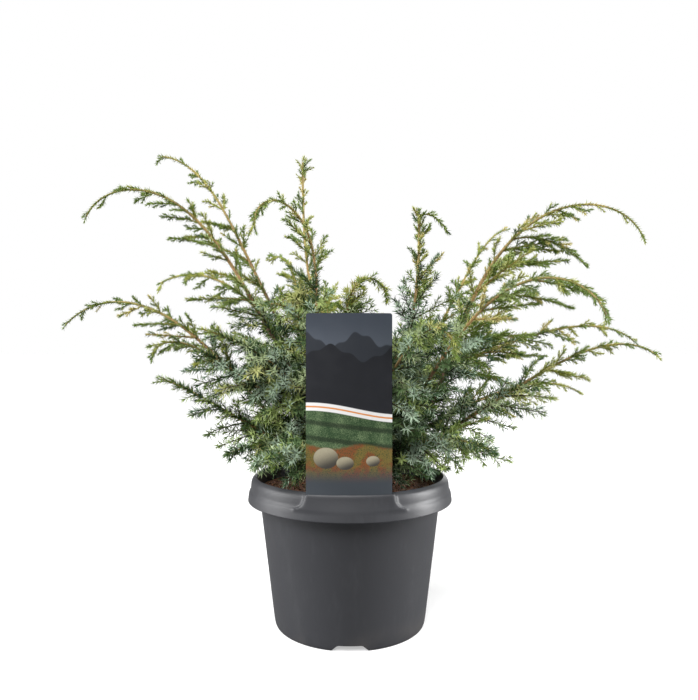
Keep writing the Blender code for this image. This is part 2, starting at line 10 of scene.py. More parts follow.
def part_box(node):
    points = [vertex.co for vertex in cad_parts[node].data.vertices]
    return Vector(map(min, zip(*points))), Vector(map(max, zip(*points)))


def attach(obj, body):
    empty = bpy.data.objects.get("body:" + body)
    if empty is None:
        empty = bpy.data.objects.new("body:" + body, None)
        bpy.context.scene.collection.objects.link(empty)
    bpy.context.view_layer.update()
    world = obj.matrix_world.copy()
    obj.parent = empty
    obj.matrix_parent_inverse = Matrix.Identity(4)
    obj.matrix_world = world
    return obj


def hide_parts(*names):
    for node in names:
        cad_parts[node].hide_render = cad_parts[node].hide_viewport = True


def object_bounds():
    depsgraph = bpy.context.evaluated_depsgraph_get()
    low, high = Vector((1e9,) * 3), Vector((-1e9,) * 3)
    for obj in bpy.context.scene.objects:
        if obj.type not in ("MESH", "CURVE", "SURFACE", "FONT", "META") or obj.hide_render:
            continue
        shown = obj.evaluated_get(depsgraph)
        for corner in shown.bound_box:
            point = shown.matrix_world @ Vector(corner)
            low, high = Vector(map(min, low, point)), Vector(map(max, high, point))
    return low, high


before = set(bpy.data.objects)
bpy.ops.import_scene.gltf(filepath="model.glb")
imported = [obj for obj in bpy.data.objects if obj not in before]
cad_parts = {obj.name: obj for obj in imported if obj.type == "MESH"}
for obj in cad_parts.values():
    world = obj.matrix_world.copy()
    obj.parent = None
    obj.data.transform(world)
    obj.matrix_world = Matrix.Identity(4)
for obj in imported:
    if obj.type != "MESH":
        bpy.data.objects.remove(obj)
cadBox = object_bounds()
print("frame loaded,", len(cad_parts), "nodes")


# Shader helpers. link() puts a number or a colour on a socket, or joins another socket to it.
def link(tree, value, socket):
    if isinstance(value, bpy.types.NodeSocket):
        tree.links.new(value, socket)
    else:
        socket.default_value = value


def addNode(tree, kind, settings=None, **values):
    node = tree.nodes.new(kind)
    for name, value in (settings or {}).items():
        setattr(node, name, value)
    for name, value in values.items():
        link(tree, value, node.inputs[name.replace("_", " ")])
    return node


def plugIn(tree, node, values):
    for value, socket in zip(values, node.inputs):
        link(tree, value, socket)
    return node.outputs


def calc(tree, operation, *values):
    return plugIn(tree, addNode(tree, "ShaderNodeMath", {"operation": operation}), values)[0]


def fade(tree, value, low, high, start=0.0, end=1.0):
    node = addNode(tree, "ShaderNodeMapRange", {"interpolation_type": "SMOOTHSTEP"})
    return plugIn(tree, node, (value, low, high, start, end))[0]


def blend(tree, share, first, second):
    node = addNode(tree, "ShaderNodeMix", {"data_type": "RGBA"})
    for socket, given in zip((node.inputs[0], node.inputs[6], node.inputs[7]), (share, first, second)):
        link(tree, given if isinstance(given, (float, bpy.types.NodeSocket)) else (*given, 1), socket)
    return node.outputs[2]


def newMaterial(name, roughness, **settings):
    made = bpy.data.materials.new(name)
    made.use_nodes = True
    shader = made.node_tree.nodes["Principled BSDF"]
    shader.inputs["Roughness"].default_value = roughness
    for key, value in settings.items():
        shader.inputs[key.replace("_", " ")].default_value = value
    return made, made.node_tree, shader


def bumpInto(tree, shader, height, strength, distance):
    bump = addNode(tree, "ShaderNodeBump", Height=height, Strength=strength, Distance=distance)
    tree.links.new(bump.outputs[0], shader.inputs["Normal"])


def objectSpots(tree, scale=None):
    # Places in the object's own frame, drawn out by the scale where one is given
    spots = tree.nodes.new("ShaderNodeTexCoord").outputs["Object"]
    return addNode(tree, "ShaderNodeMapping", Vector=spots, Scale=scale).outputs[0] if scale else spots


def newGroup(name, given, made):
    group = bpy.data.node_groups.new(name, "ShaderNodeTree")
    for way, sockets in (("INPUT", given), ("OUTPUT", made)):
        for socket in sockets:
            kind = "NodeSocketVector" if socket == "Vector" else "NodeSocketFloat"
            group.interface.new_socket(socket, in_out=way, socket_type=kind)
    return group, group.nodes.new("NodeGroupInput").outputs, group.nodes.new("NodeGroupOutput").inputs


def useGroup(tree, group, *values):
    return plugIn(tree, addNode(tree, "ShaderNodeGroup", {"node_tree": group}), values)


# One group for all mottled surfaces: broad clouds, and fine grains over them
def makeMottle():
    names = ("Vector", "Cloud Size", "Grain Size", "Grain Share")
    group, given, result = newGroup("mottle", names, ("Clouds", "Grains", "Both"))
    clouds = addNode(group, "ShaderNodeTexNoise", Vector=given[0], Scale=given[1], Detail=4.0).outputs[0]
    grains = addNode(group, "ShaderNodeTexNoise", Vector=given[0], Scale=given[2], Detail=2.0).outputs[0]
    cloudPart = calc(group, "MULTIPLY", clouds, calc(group, "SUBTRACT", 1.0, given[3]))
    grainPart = calc(group, "MULTIPLY", grains, given[3])
    for socket, output in zip((clouds, grains, calc(group, "ADD", cloudPart, grainPart)), result):
        group.links.new(socket, output)
    return group


mottle = makeMottle()


def mottled(tree, cloudSize, grainSize, grainShare=0.4, spots=None):
    return useGroup(tree, mottle, spots or objectSpots(tree), cloudSize, grainSize, grainShare)


# Mesh helpers
mergeDistance = 0.00001


def newObject(name, data):
    obj = bpy.data.objects.new(name, data)
    bpy.context.scene.collection.objects.link(obj)
    return obj


def finished(bm, name, material, smoothAngle=32):
    mesh = bpy.data.meshes.new(name)
    bm.to_mesh(mesh)
    bm.free()
    mesh.materials.append(material)
    mesh.shade_smooth()
    mesh.set_sharp_from_angle(angle=math.radians(smoothAngle))
    return newObject(name, mesh)


def arrayMesh(name, points, faces, slots, materials):
    mesh = bpy.data.meshes.new(name)
    mesh.from_pydata(points.tolist(), [], faces)
    mesh.polygons.foreach_set("material_index", slots)
    for material in materials:
        mesh.materials.append(material)
    return newObject(name, mesh)


def spun(bm, corners, turns):
    # The corners' path turned round the upright axis
    edges = [bm.edges.new(pair) for pair in zip(corners, corners[1:])]
    bmesh.ops.spin(bm, geom=corners + edges, axis=(0, 0, 1), cent=(0, 0, 0), angle=math.tau, steps=turns,
                   use_merge=True)


def evenTurns(count, first=0):
    return [math.tau * (number + first) / count for number in range(count)]


def place(obj, slotName, *nodes):
    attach(obj, "root")
    if nodes:
        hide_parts(*nodes)


def cutAway(obj, cutters):
    for cutter in cutters:
        modifier = obj.modifiers.new("cut", "BOOLEAN")
        modifier.operation = "DIFFERENCE"
        modifier.solver = "EXACT"
        modifier.object = cutter
    graph = bpy.context.evaluated_depsgraph_get()
    graph.update()
    mesh = bpy.data.meshes.new_from_object(obj.evaluated_get(graph))
    obj.modifiers.clear()
    obj.data = mesh
    for cutter in cutters:
        bpy.data.objects.remove(cutter, do_unlink=True)


# Lines through space, read by distance or by share of their length
def unit(vector):
    return vector / np.linalg.norm(vector)


def units(vectors):
    return vectors / np.linalg.norm(vectors, axis=-1)[..., None]


def crossways(tangents, guides):
    # Two directions square to each tangent, found from the upright, or from x where the guide is steep
    steep = np.abs(guides[..., 2:]) >= 0.9
    helper = np.where(steep, np.array([1.0, 0, 0]), np.array([0, 0, 1.0]))
    side = units(np.cross(tangents, np.broadcast_to(helper, tangents.shape)))
    return side, np.cross(side, tangents)


def makeLine(points, side):
    steps = np.linalg.norm(np.diff(points, axis=0), axis=1)
    travel = np.concatenate([[0], np.cumsum(steps)])
    return {"points": points, "travel": travel, "length": travel[-1], "side": np.array(side, float)}


def placeAt(line, distance):
    return np.stack([np.interp(distance, line["travel"], axis) for axis in line["points"].T], -1)


def pointAt(line, share):
    return placeAt(line, share * line["length"])


def frameAt(line, share, near=0.01):
    tangent = unit(pointAt(line, min(1, share + near)) - pointAt(line, max(0, share - near)))
    side = unit(line["side"] - tangent * (line["side"] @ tangent))
    return tangent, side, np.cross(side, tangent)


def eased(value):
    value = min(max(value, 0), 1)
    return value * value * (3 - 2 * value)


# The pot: a turned profile. Its rim has two sections, one for the turned rim and one for the label's pocket,
# and each point of the rim goes to the one or the other, with a rounded step between them.
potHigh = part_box("pot")[1]
pot = {
    "lip": potHigh.x,
    "top": potHigh.z,
    "lipFoot": 0.1140,
    "lipTop": 0.1148,
    "rimFoot": 0.1180,
    "rimInner": 0.0870,
    "shoulder": 0.1165,
    "neck": 0.0838,
    "foot": 0.0710,
    "footCorner": 0.0692,
    "footHeight": 0.0080,
    "wall": 0.0020,
    "floorLow": 0.0060,
    "floorTop": 0.0085,
    "ringWidth": 0.0040,
    "pad": 0.0120,
    # radius and height, from the inside of the rim over its edge and down to the lip
    "rimSection": [(0.0870, 0.1180), (0.0870, 0.1355), (0.0873, 0.1362), (0.0880, 0.1363), (0.0885, 0.1358),
                   (0.0896, 0.1351), (0.0910, 0.1338), (0.0919, 0.1315), (0.0923, 0.1280), (0.0924, 0.1256),
                   (0.0929, 0.1240), (0.0938, 0.1226), (0.0943, 0.1205), (0.0948, 0.1165), (0.0950, 0.1148)],
    "pocketInner": 0.0862,
    "pocketWall": 0.0012,
    "pocketHalf": 0.0392,
    "pocketCorner": 0.0095,
    "pocketTurn": 0.46,
    "pocketRings": 12,
    "pocketRound": 0.0008,
    "pocketInset": 0.0002,
    "recessFoot": 0.1228,
    "recessBlend": 0.0035,
    "step": 0.0052,
    "rimPoints": 56,
    "lipFillet": 0.0007,
    "turns": 360,
    "notches": 3,
    "notchDepth": 0.0090,
    "notchTop": 0.0215,
    "notchFoot": 0.0320,
    "notchHeight": 0.0052,
    "notchRound": 0.0016,
    "drains": 4,
    "drainRadius": 0.0060,
    "drainCircle": 0.0450,
    "drainSides": 32,
    "smoothAngle": 40,
    "colour": (0.036, 0.037, 0.042),
    "worn": (0.066, 0.068, 0.074),
    "dust": (0.095, 0.085, 0.075),
}


def roundedPath(corners, steps=4):
    # Each corner is (radius, height, fillet). A fillet is a short curve between the two edges.
    path = []
    for number, (x, z, fillet) in enumerate(corners):
        here = Vector((x, z))
        if not fillet:
            path.append(here)
            continue
        before = Vector(corners[number - 1][:2])
        after = Vector(corners[number + 1][:2])
        first = here + (before - here).normalized() * fillet
        last = here + (after - here).normalized() * fillet
        for step in range(steps + 1):
            t = step / steps
            path.append(first * (1 - t) ** 2 + here * 2 * t * (1 - t) + last * t * t)
    return path


def smoothSection(points, count):
    # The points rounded off twice by cutting a quarter from each end of an edge, then read at even steps
    for _ in range(2):
        cut = [points[0]]
        for first, last in zip(points, points[1:]):
            cut += [tuple(0.75 * a + 0.25 * b for a, b in zip(first, last)),
                    tuple(0.25 * a + 0.75 * b for a, b in zip(first, last))]
        points = cut + [points[-1]]
    line = makeLine(np.array(points), (0, 0))
    return placeAt(line, np.linspace(0, line["length"], count))


def pocketSection(x):
    # The pocket's front stands a wall's width before the bent label, and runs down into the lip
    face = label["front"] + pot["pocketWall"] - (label["bend"] - math.sqrt(label["bend"] ** 2 - x * x))
    face = min(math.hypot(face, x), pot["lip"] - pot["pocketInset"])
    top, inner, edge = pot["top"], pot["pocketInner"], pot["pocketRound"]
    section = [(inner, pot["rimFoot"]), (inner, top - edge), (inner + 0.75 * edge, top)]
    last = pot["pocketRings"] - 1
    for ring in range(last + 1):
        height = top - (top - pot["lipTop"]) * ring / last
        radius = face + (pot["lip"] - face) * eased(ring / last)
        section.append((radius - (0 if ring else edge), height))
    return smoothSection(section, pot["rimPoints"])


def potPath():
    p = pot
    slope = (p["neck"] - p["foot"]) / (p["shoulder"] - p["floorTop"])
    innerFoot = p["foot"] - p["wall"]
    innerShoulder = innerFoot + slope * (p["shoulder"] - p["floorTop"])
    inside = [
        (0, p["floorTop"], 0),
        (innerFoot, p["floorTop"], 0.003),
        (innerShoulder, p["shoulder"], 0.002),
        (p["rimInner"], p["rimFoot"], 0),
    ]
    outside = [
        (p["lip"], p["lipTop"], 0),
        (p["lip"], p["lipFoot"], p["lipFillet"]),
        (p["neck"], p["lipFoot"], 0.0006),
        (p["foot"], p["footHeight"], 0.003),
        ((p["foot"] + p["footCorner"]) / 2, 0.0022, 0.0012),
        (p["footCorner"], 0, 0.0007),
        (p["footCorner"] - p["ringWidth"], 0, 0.0006),
        (p["footCorner"] - p["ringWidth"], p["floorLow"], 0.001),
        (p["pad"], p["floorLow"], 0.001),
        (p["pad"], 0, 0.0006),
        (0, 0, 0),
    ]
    rim = [Vector(point) for point in smoothSection(p["rimSection"], p["rimPoints"])]
    return roundedPath(inside)[:-1], rim, roundedPath(outside)[1:]


def shapeRim(bm, rim, marks):
    # Across is the distance round from the pocket's side, and the step bends away from it low down
    for vert in bm.verts:
        number = vert[marks] - 1
        if number < 0:
            continue
        turn = math.atan2(vert.co.x, -vert.co.y)
        across = abs(turn) * pot["lip"] - pot["pocketHalf"]
        if across > 2 * pot["pocketCorner"]:
            continue
        low = pot["pocketCorner"] - max(0, rim[number].y - pot["recessFoot"])
        bend = pot["pocketCorner"] - math.sqrt(max(0, pot["pocketCorner"] ** 2 - low * low)) if low > 0 else 0
        share = eased((across - bend) / pot["step"] + 0.5)
        share = max(share, eased((pot["recessFoot"] - rim[number].y) / pot["recessBlend"]))
        limit = math.sin(min(abs(turn), pot["pocketTurn"])) * pot["lip"]
        radius, height = pocketSection(limit)[number]
        radius += (rim[number].x - radius) * share
        height += (rim[number].y - height) * share
        vert.co = (radius * math.sin(turn), -radius * math.cos(turn), height)


def potMaterial():
    material, tree, shader = newMaterial("moulded pot plastic", 0.42, Specular_IOR_Level=0.5)
    spots = objectSpots(tree)
    rubbed = mottled(tree, 60.0, 300.0, 0.35, objectSpots(tree, (1, 1, 0.25)))
    broad = mottled(tree, 14.0, 1100.0, 0.3, spots)
    height = addNode(tree, "ShaderNodeSeparateXYZ", Vector=spots).outputs[2]
    worn = fade(tree, rubbed[2], 0.48, 0.74, 0.0, 0.30)
    base = blend(tree, worn, pot["colour"], pot["worn"])
    low = fade(tree, height, 0.024, 0.0, 0.0, 0.45)
    dusty = calc(tree, "MULTIPLY", low, fade(tree, broad[0], 0.45, 0.70))
    tree.links.new(blend(tree, dusty, base, pot["dust"]), shader.inputs["Base Color"])
    tree.links.new(fade(tree, broad[2], 0.35, 0.65, 0.42, 0.54), shader.inputs["Roughness"])
    bumpInto(tree, shader, broad[1], 0.18, 0.0002)
    return material


def notchCutter(turn, material):
    # A block across the foot ring, wider at the floor, with its upper corners rounded
    bm = bmesh.new()
    near, far = pot["footCorner"] - pot["notchDepth"], pot["lip"]
    bmesh.ops.create_cube(bm, size=1)
    bmesh.ops.scale(bm, vec=(pot["notchTop"], far - near, 2 * pot["notchHeight"]), verts=bm.verts)
    bmesh.ops.translate(bm, vec=(0, -(near + far) / 2, 0), verts=bm.verts)
    foot = [vert for vert in bm.verts if vert.co.z < 0]
    flare = 1 + 2 * (pot["notchFoot"] / pot["notchTop"] - 1)
    bmesh.ops.scale(bm, vec=(flare, 1, 1), verts=foot)
    upper = [edge for edge in bm.edges if all(vert.co.z > 0 for vert in edge.verts)
             and abs(edge.verts[0].co.x - edge.verts[1].co.x) < 0.001]
    bmesh.ops.bevel(bm, geom=upper, offset=pot["notchRound"], affect="EDGES", segments=4, profile=0.5,
                    material=-1)
    bmesh.ops.rotate(bm, verts=bm.verts, matrix=Matrix.Rotation(turn, 3, "Z"))
    return finished(bm, "notchCutter", material)


def drainCutter(turn, material):
    bm = bmesh.new()
    centre = Matrix.Rotation(turn, 4, "Z") @ Matrix.Translation((pot["drainCircle"], 0, pot["floorLow"]))
    bmesh.ops.create_cone(bm, cap_ends=True, segments=pot["drainSides"], radius1=pot["drainRadius"],
                          radius2=pot["drainRadius"], depth=2 * pot["floorTop"], matrix=centre)
    return finished(bm, "drainCutter", material)


def makePot():
    material = potMaterial()
    bm = bmesh.new()
    marks = bm.verts.layers.int.new("rimPoint")
    inside, rim, outside = potPath()
    corners = []
    for points, first in ((inside, None), (rim, 1), (outside, None)):
        for number, point in enumerate(points):
            corner = bm.verts.new((point.x, 0, point.y))
            corner[marks] = number + first if first else 0
            corners.append(corner)
    spun(bm, corners, pot["turns"])
    shapeRim(bm, rim, marks)
    bmesh.ops.remove_doubles(bm, verts=bm.verts, dist=mergeDistance)
    bmesh.ops.recalc_face_normals(bm, faces=bm.faces)
    obj = finished(bm, "nurseryPot", material)
    cutters = [labelSheet("slotCutter", label["gap"], material)]
    cutters += [notchCutter(turn, material) for turn in evenTurns(pot["notches"])]
    cutters += [drainCutter(turn, material) for turn in evenTurns(pot["drains"], 0.5)]
    cutAway(obj, cutters)
    obj.data.shade_smooth()
    obj.data.set_sharp_from_angle(angle=math.radians(pot["smoothAngle"]))
    place(obj, "pot", "pot")


# The picture label: a thin card, bent round an upright axis, with rounded upper corners
labelLow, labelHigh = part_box("label")
label = {
    "width": labelHigh.x - labelLow.x,
    "middle": (labelHigh.x + labelLow.x) / 2,
    "foot": labelLow.z,
    "top": labelHigh.z,
    "front": -labelLow.y,
    "thick": 0.0006,
    "bend": 0.1600,
    "corner": 0.0020,
    "gap": 0.0003,
    "strips": 24,
    # the design: heights as shares of the card's, and waves as (size, length, start)
    "farHillsAt": 0.865,
    "farHillWaves": [(0.0055, 0.043, 0.6), (0.0014, 0.013, 0.0)],
    "hillsAt": 0.800,
    "hillWaves": [(0.0060, 0.058, 3.4), (0.0016, 0.017, 1.0)],
    "bandAt": 0.520,
    "bandWaves": [(0.0050, 0.150, 2.9)],
    "bandWidth": 0.0065,
    "stripeDrop": 0.0026,
    "stripeWidth": 0.0013,
    "rowPitch": 0.0125,
    "rowSlope": 60.0,
    "earthAt": 0.330,
    "earthWaves": [(0.0020, 0.050, 0.4)],
    "slateAt": (0.250, 0.140),
    # middle across and up, and half width and height
    "stones": [(-0.0195, 0.1655, 0.0100, 0.0085), (-0.0040, 0.1615, 0.0070, 0.0052),
               (0.0185, 0.1630, 0.0055, 0.0042)],
    "sky": (0.052, 0.062, 0.080),
    "haze": (0.085, 0.098, 0.122),
    "hills": (0.017, 0.018, 0.022),
    "farHills": (0.030, 0.034, 0.042),
    "band": (0.80, 0.79, 0.78),
    "stripe": (0.68, 0.26, 0.07),
    "meadow": (0.030, 0.062, 0.026),
    "meadowLight": (0.150, 0.215, 0.105),
    "meadowShade": (0.014, 0.024, 0.012),
    "earth": (0.190, 0.135, 0.035),
    "earthRed": (0.230, 0.075, 0.025),
    "stone": (0.430, 0.385, 0.270),
    "stoneShade": (0.055, 0.050, 0.042),
    "slate": (0.050, 0.058, 0.068),
}


def labelSheet(name, spare, material):
    half = label["width"] / 2 + spare
    low = label["foot"] - spare
    bm = bmesh.new()
    corners = [(-half, low), (half, low), (half, label["top"]), (-half, label["top"])]
    face = bm.faces.new([bm.verts.new((x, 0, z)) for x, z in corners])
    upper = [vert for vert in face.verts if vert.co.z > (label["foot"] + label["top"]) / 2]
    bmesh.ops.bevel(bm, geom=upper, offset=label["corner"], affect="VERTICES", segments=6, profile=0.5,
                    material=-1)
    for number in range(1, label["strips"]):
        x = half * (2 * number / label["strips"] - 1)
        whole = bm.verts[:] + bm.edges[:] + bm.faces[:]
        bmesh.ops.bisect_plane(bm, geom=whole, plane_co=(x, 0, 0), plane_no=(1, 0, 0))
    bmesh.ops.recalc_face_normals(bm, faces=bm.faces)
    bmesh.ops.solidify(bm, geom=bm.faces[:], thickness=label["thick"] + 2 * spare)
    front = min(vert.co.y for vert in bm.verts)
    for vert in bm.verts:
        # The bend keeps the middle of the card's front where the frame has it
        deep = vert.co.y - front - spare
        radius = label["bend"] - deep
        angle = math.asin(vert.co.x / label["bend"])
        vert.co.x = label["middle"] + radius * math.sin(angle)
        vert.co.y = label["bend"] - label["front"] - radius * math.cos(angle)
    bmesh.ops.recalc_face_normals(bm, faces=bm.faces)
    return finished(bm, name, material)


# A soft-edged ellipse with a value that falls from its upper left, for the stones on the label
def makeStoneMask():
    names = ("X", "Z", "Centre X", "Centre Z", "Radius X", "Radius Z")
    group, given, result = newGroup("stoneMask", names, ("Mask", "Light"))
    x = calc(group, "DIVIDE", calc(group, "SUBTRACT", given[0], given[2]), given[4])
    z = calc(group, "DIVIDE", calc(group, "SUBTRACT", given[1], given[3]), given[5])
    square = calc(group, "ADD", calc(group, "MULTIPLY", x, x), calc(group, "MULTIPLY", z, z))
    light = calc(group, "SUBTRACT", z, calc(group, "MULTIPLY", x, 0.5))
    group.links.new(fade(group, square, 1.08, 0.92), result[0])
    group.links.new(fade(group, light, -1.0, 0.9), result[1])
    return group


def labelMaterial():
    material, tree, shader = newMaterial("printed card", 0.38, Specular_IOR_Level=0.35)
    spots = objectSpots(tree)
    split = addNode(tree, "ShaderNodeSeparateXYZ", Vector=spots).outputs
    x, z = split[0], split[2]

    def heightAt(share):
        return label["foot"] + share * (label["top"] - label["foot"])

    def wave(share, waves):
        # A line across the card: its height plus sines
        total = heightAt(share)
        for size, length, start in waves:
            turn = calc(tree, "MULTIPLY_ADD", x, math.tau / length, start)
            total = calc(tree, "MULTIPLY_ADD", calc(tree, "SINE", turn), size, total)
        return total

    def below(line, soft=0.0003):
        return fade(tree, calc(tree, "SUBTRACT", line, z), -soft, soft)

    grass = mottled(tree, 90.0, 1400.0, 0.65, spots)
    colour = blend(tree, fade(tree, z, heightAt(0.99), heightAt(0.80)), label["sky"], label["haze"])
    farLine = wave(label["farHillsAt"], label["farHillWaves"])
    colour = blend(tree, below(farLine, 0.0008), colour, label["farHills"])
    colour = blend(tree, below(wave(label["hillsAt"], label["hillWaves"])), colour, label["hills"])
    bandLine = wave(label["bandAt"], label["bandWaves"])
    meadow = blend(tree, fade(tree, grass[2], 0.42, 0.66), label["meadow"], label["meadowLight"])
    slope = calc(tree, "MULTIPLY", x, label["rowSlope"])
    rows = calc(tree, "SINE", calc(tree, "MULTIPLY_ADD", z, math.tau / label["rowPitch"], slope))
    meadow = blend(tree, fade(tree, rows, 0.1, 1.0, 0.0, 0.75), meadow, label["meadowShade"])
    colour = blend(tree, below(bandLine), colour, label["band"])
    stripe = calc(tree, "SUBTRACT", bandLine, label["stripeDrop"])
    underStripe = below(calc(tree, "SUBTRACT", stripe, label["stripeWidth"]))
    inStripe = calc(tree, "MULTIPLY", below(stripe), calc(tree, "SUBTRACT", 1.0, underStripe))
    colour = blend(tree, inStripe, colour, label["stripe"])
    colour = blend(tree, below(calc(tree, "SUBTRACT", bandLine, label["bandWidth"])), colour, meadow)
    earth = blend(tree, fade(tree, grass[0], 0.44, 0.58), label["earth"], label["earthRed"])
    earth = blend(tree, fade(tree, grass[1], 0.45, 0.70), earth, label["meadow"])
    colour = blend(tree, below(wave(label["earthAt"], label["earthWaves"]), 0.0015), colour, earth)
    stoneMask = makeStoneMask()
    for stone in label["stones"]:
        mask, light = useGroup(tree, stoneMask, x, z, *stone)
        grey = calc(tree, "MULTIPLY", light, fade(tree, grass[2], 0.2, 0.8, 0.75, 1.0))
        colour = blend(tree, mask, colour, blend(tree, grey, label["stoneShade"], label["stone"]))
    first, last = label["slateAt"]
    colour = blend(tree, fade(tree, z, heightAt(first), heightAt(last)), colour, label["slate"])
    tree.links.new(colour, shader.inputs["Base Color"])
    tree.links.new(fade(tree, grass[0], 0.3, 0.7, 0.30, 0.40), shader.inputs["Roughness"])
    bumpInto(tree, shader, grass[1], 0.04, 0.0001)
    return material


def makeLabel():
    place(labelSheet("pictureLabel", 0, labelMaterial()), "label", "label")


# Peat: an uneven disc, with crumbs and a few pale specks lying on it
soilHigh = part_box("soil")[1]
soil = {
    "radius": soilHigh.x,
    "top": soilHigh.z,
    "edge": 0.1235,
    "shoulder": 0.1185,
    "rings": 34,
    "turns": 360,
    "relief": 0.0011,
    "lumps": 210,
    "grains": 560,
    "lumpPart": 0.32,
    "grainPart": 0.6,
    "smoothAngle": 60,
    "crumbs": 1500,
    "crumbSize": (0.0007, 0.0024),
    "crumbLong": (0.5, 1),
    "crumbWide": (0.3, 0.7),
    "crumbThick": 0.5,
    "crumbLift": 0.1,
    "specks": 90,
    "speckShare": 0.6,
    "rimFree": 0.003,
    "seed": 4,
    "dark": (0.050, 0.030, 0.023),
    "brown": (0.340, 0.170, 0.108),
    "red": (0.480, 0.215, 0.125),
    "speck": (0.42, 0.33, 0.24),
}


def soilMaterial():
    material, tree, shader = newMaterial("moist peat", 0.9, Specular_IOR_Level=0.25)
    parts = mottled(tree, 260.0, 1600.0, 0.55)
    colour = blend(tree, fade(tree, parts[2], 0.38, 0.60), soil["dark"], soil["brown"])
    colour = blend(tree, fade(tree, parts[1], 0.58, 0.72), colour, soil["red"])
    tree.links.new(colour, shader.inputs["Base Color"])
    bumpInto(tree, shader, parts[2], 0.8, 0.0008)
    return material


def soilHeight(x, y):
    flat = soil["top"] - (soil["top"] - soil["edge"]) * (math.hypot(x, y) / soil["radius"]) ** 2
    lumps = noise.noise(Vector((x, y, 0)) * soil["lumps"])
    lumps += soil["grainPart"] * noise.noise(Vector((x, y, 0.1)) * soil["grains"])
    return flat - soil["relief"] * (0.5 - soil["lumpPart"] * lumps)


def speckMaterial():
    material, tree, shader = newMaterial("mineral specks", 0.7)
    grains = mottled(tree, 300.0, 2500.0)
    tree.links.new(blend(tree, grains[2], soil["brown"], soil["speck"]), shader.inputs["Base Color"])
    return material


def scatterOnSoil(name, count, share, material, draw):
    # Small flat lumps, each turned its own way and partly sunk in the peat
    bm = bmesh.new()
    for _ in range(count):
        radius = (soil["radius"] - soil["rimFree"]) * math.sqrt(draw.random())
        turn = draw.uniform(0, math.tau)
        x, y = radius * math.cos(turn), radius * math.sin(turn)
        size = draw.uniform(*soil["crumbSize"]) * share
        roll = draw.uniform(0, math.tau)
        spin = Matrix.Rotation(roll, 4, Vector([draw.random() for _ in range(3)]))
        long, wide = draw.uniform(*soil["crumbLong"]), draw.uniform(*soil["crumbWide"])
        shape = Matrix.Diagonal((size * long, size * wide, size * soil["crumbThick"], 1))
        where = Matrix.Translation((x, y, soilHeight(x, y) + size * soil["crumbLift"]))
        bmesh.ops.create_icosphere(bm, subdivisions=1, radius=1, matrix=where @ spin @ shape)
    place(finished(bm, name, material, soil["smoothAngle"]), "soil")


def makeSoil():
    material = soilMaterial()
    bm = bmesh.new()
    radii = [soil["radius"] * number / soil["rings"] for number in range(soil["rings"] + 1)]
    corners = [bm.verts.new((radius, 0, soil["top"])) for radius in radii]
    corners += [bm.verts.new((radius, 0, soil["shoulder"])) for radius in (soil["radius"], 0)]
    spun(bm, corners, soil["turns"])
    bmesh.ops.remove_doubles(bm, verts=bm.verts, dist=mergeDistance)
    for vert in bm.verts:
        if vert.co.z > soil["shoulder"] + 0.001:
            vert.co.z = soilHeight(vert.co.x, vert.co.y)
    bmesh.ops.recalc_face_normals(bm, faces=bm.faces)
    place(finished(bm, "peat", material, soil["smoothAngle"]), "soil", "soil")
    draw = random.Random(soil["seed"])
    scatterOnSoil("peatCrumbs", soil["crumbs"], 1, material, draw)
    scatterOnSoil("paleSpecks", soil["specks"], soil["speckShare"], speckMaterial(), draw)


# Growth: the rule and the seeds of the solids, so that every stem starts on its own limb
growth = {
    "gap": 0.0003,
    "bare": 0.25,
    "turn": 0.30,
    "sway": 6,
    "trunkHeight": 0.0900,
    "trunkLean": math.radians(-3),
    "limbBase": 0.0012,
    "limbGrowth": 0.0038,
    "limbTip": 0.0005,
    "limbSlim": 0.72,
    "limbTaper": 1.1,
    # shares of a line where its limb's root is looked for, and how near the solid it has to be
    "rootShares": (0.001, 0.4, 0.001),
    "rootNear": 0.0030,
    "firstShoot": 0.6,
    "roundStep": math.radians(137.5),
    "roundSpread": 0.25,
    "lean": (math.radians(52), math.radians(34)),
    "leanSpread": 0.1,
    "roll": 0.6,
    "sizes": (0.82, 1.12),
    "boughPitch": 0.0225,
    "tierPitch": 0.0140,
    "least": 0.009,
    "endReach": 0.012,
    "reachFade": (0.25, 0.85),
    "hang": 0.35,
    "longReach": 0.0675,
    "headingStep": 7,
    "headingTries": 25,
    # first, last and count of the places where a turned line is held against its solid
    "fitShares": (0.1, 0.85, 12),
    "tierStagger": 0.004,
}
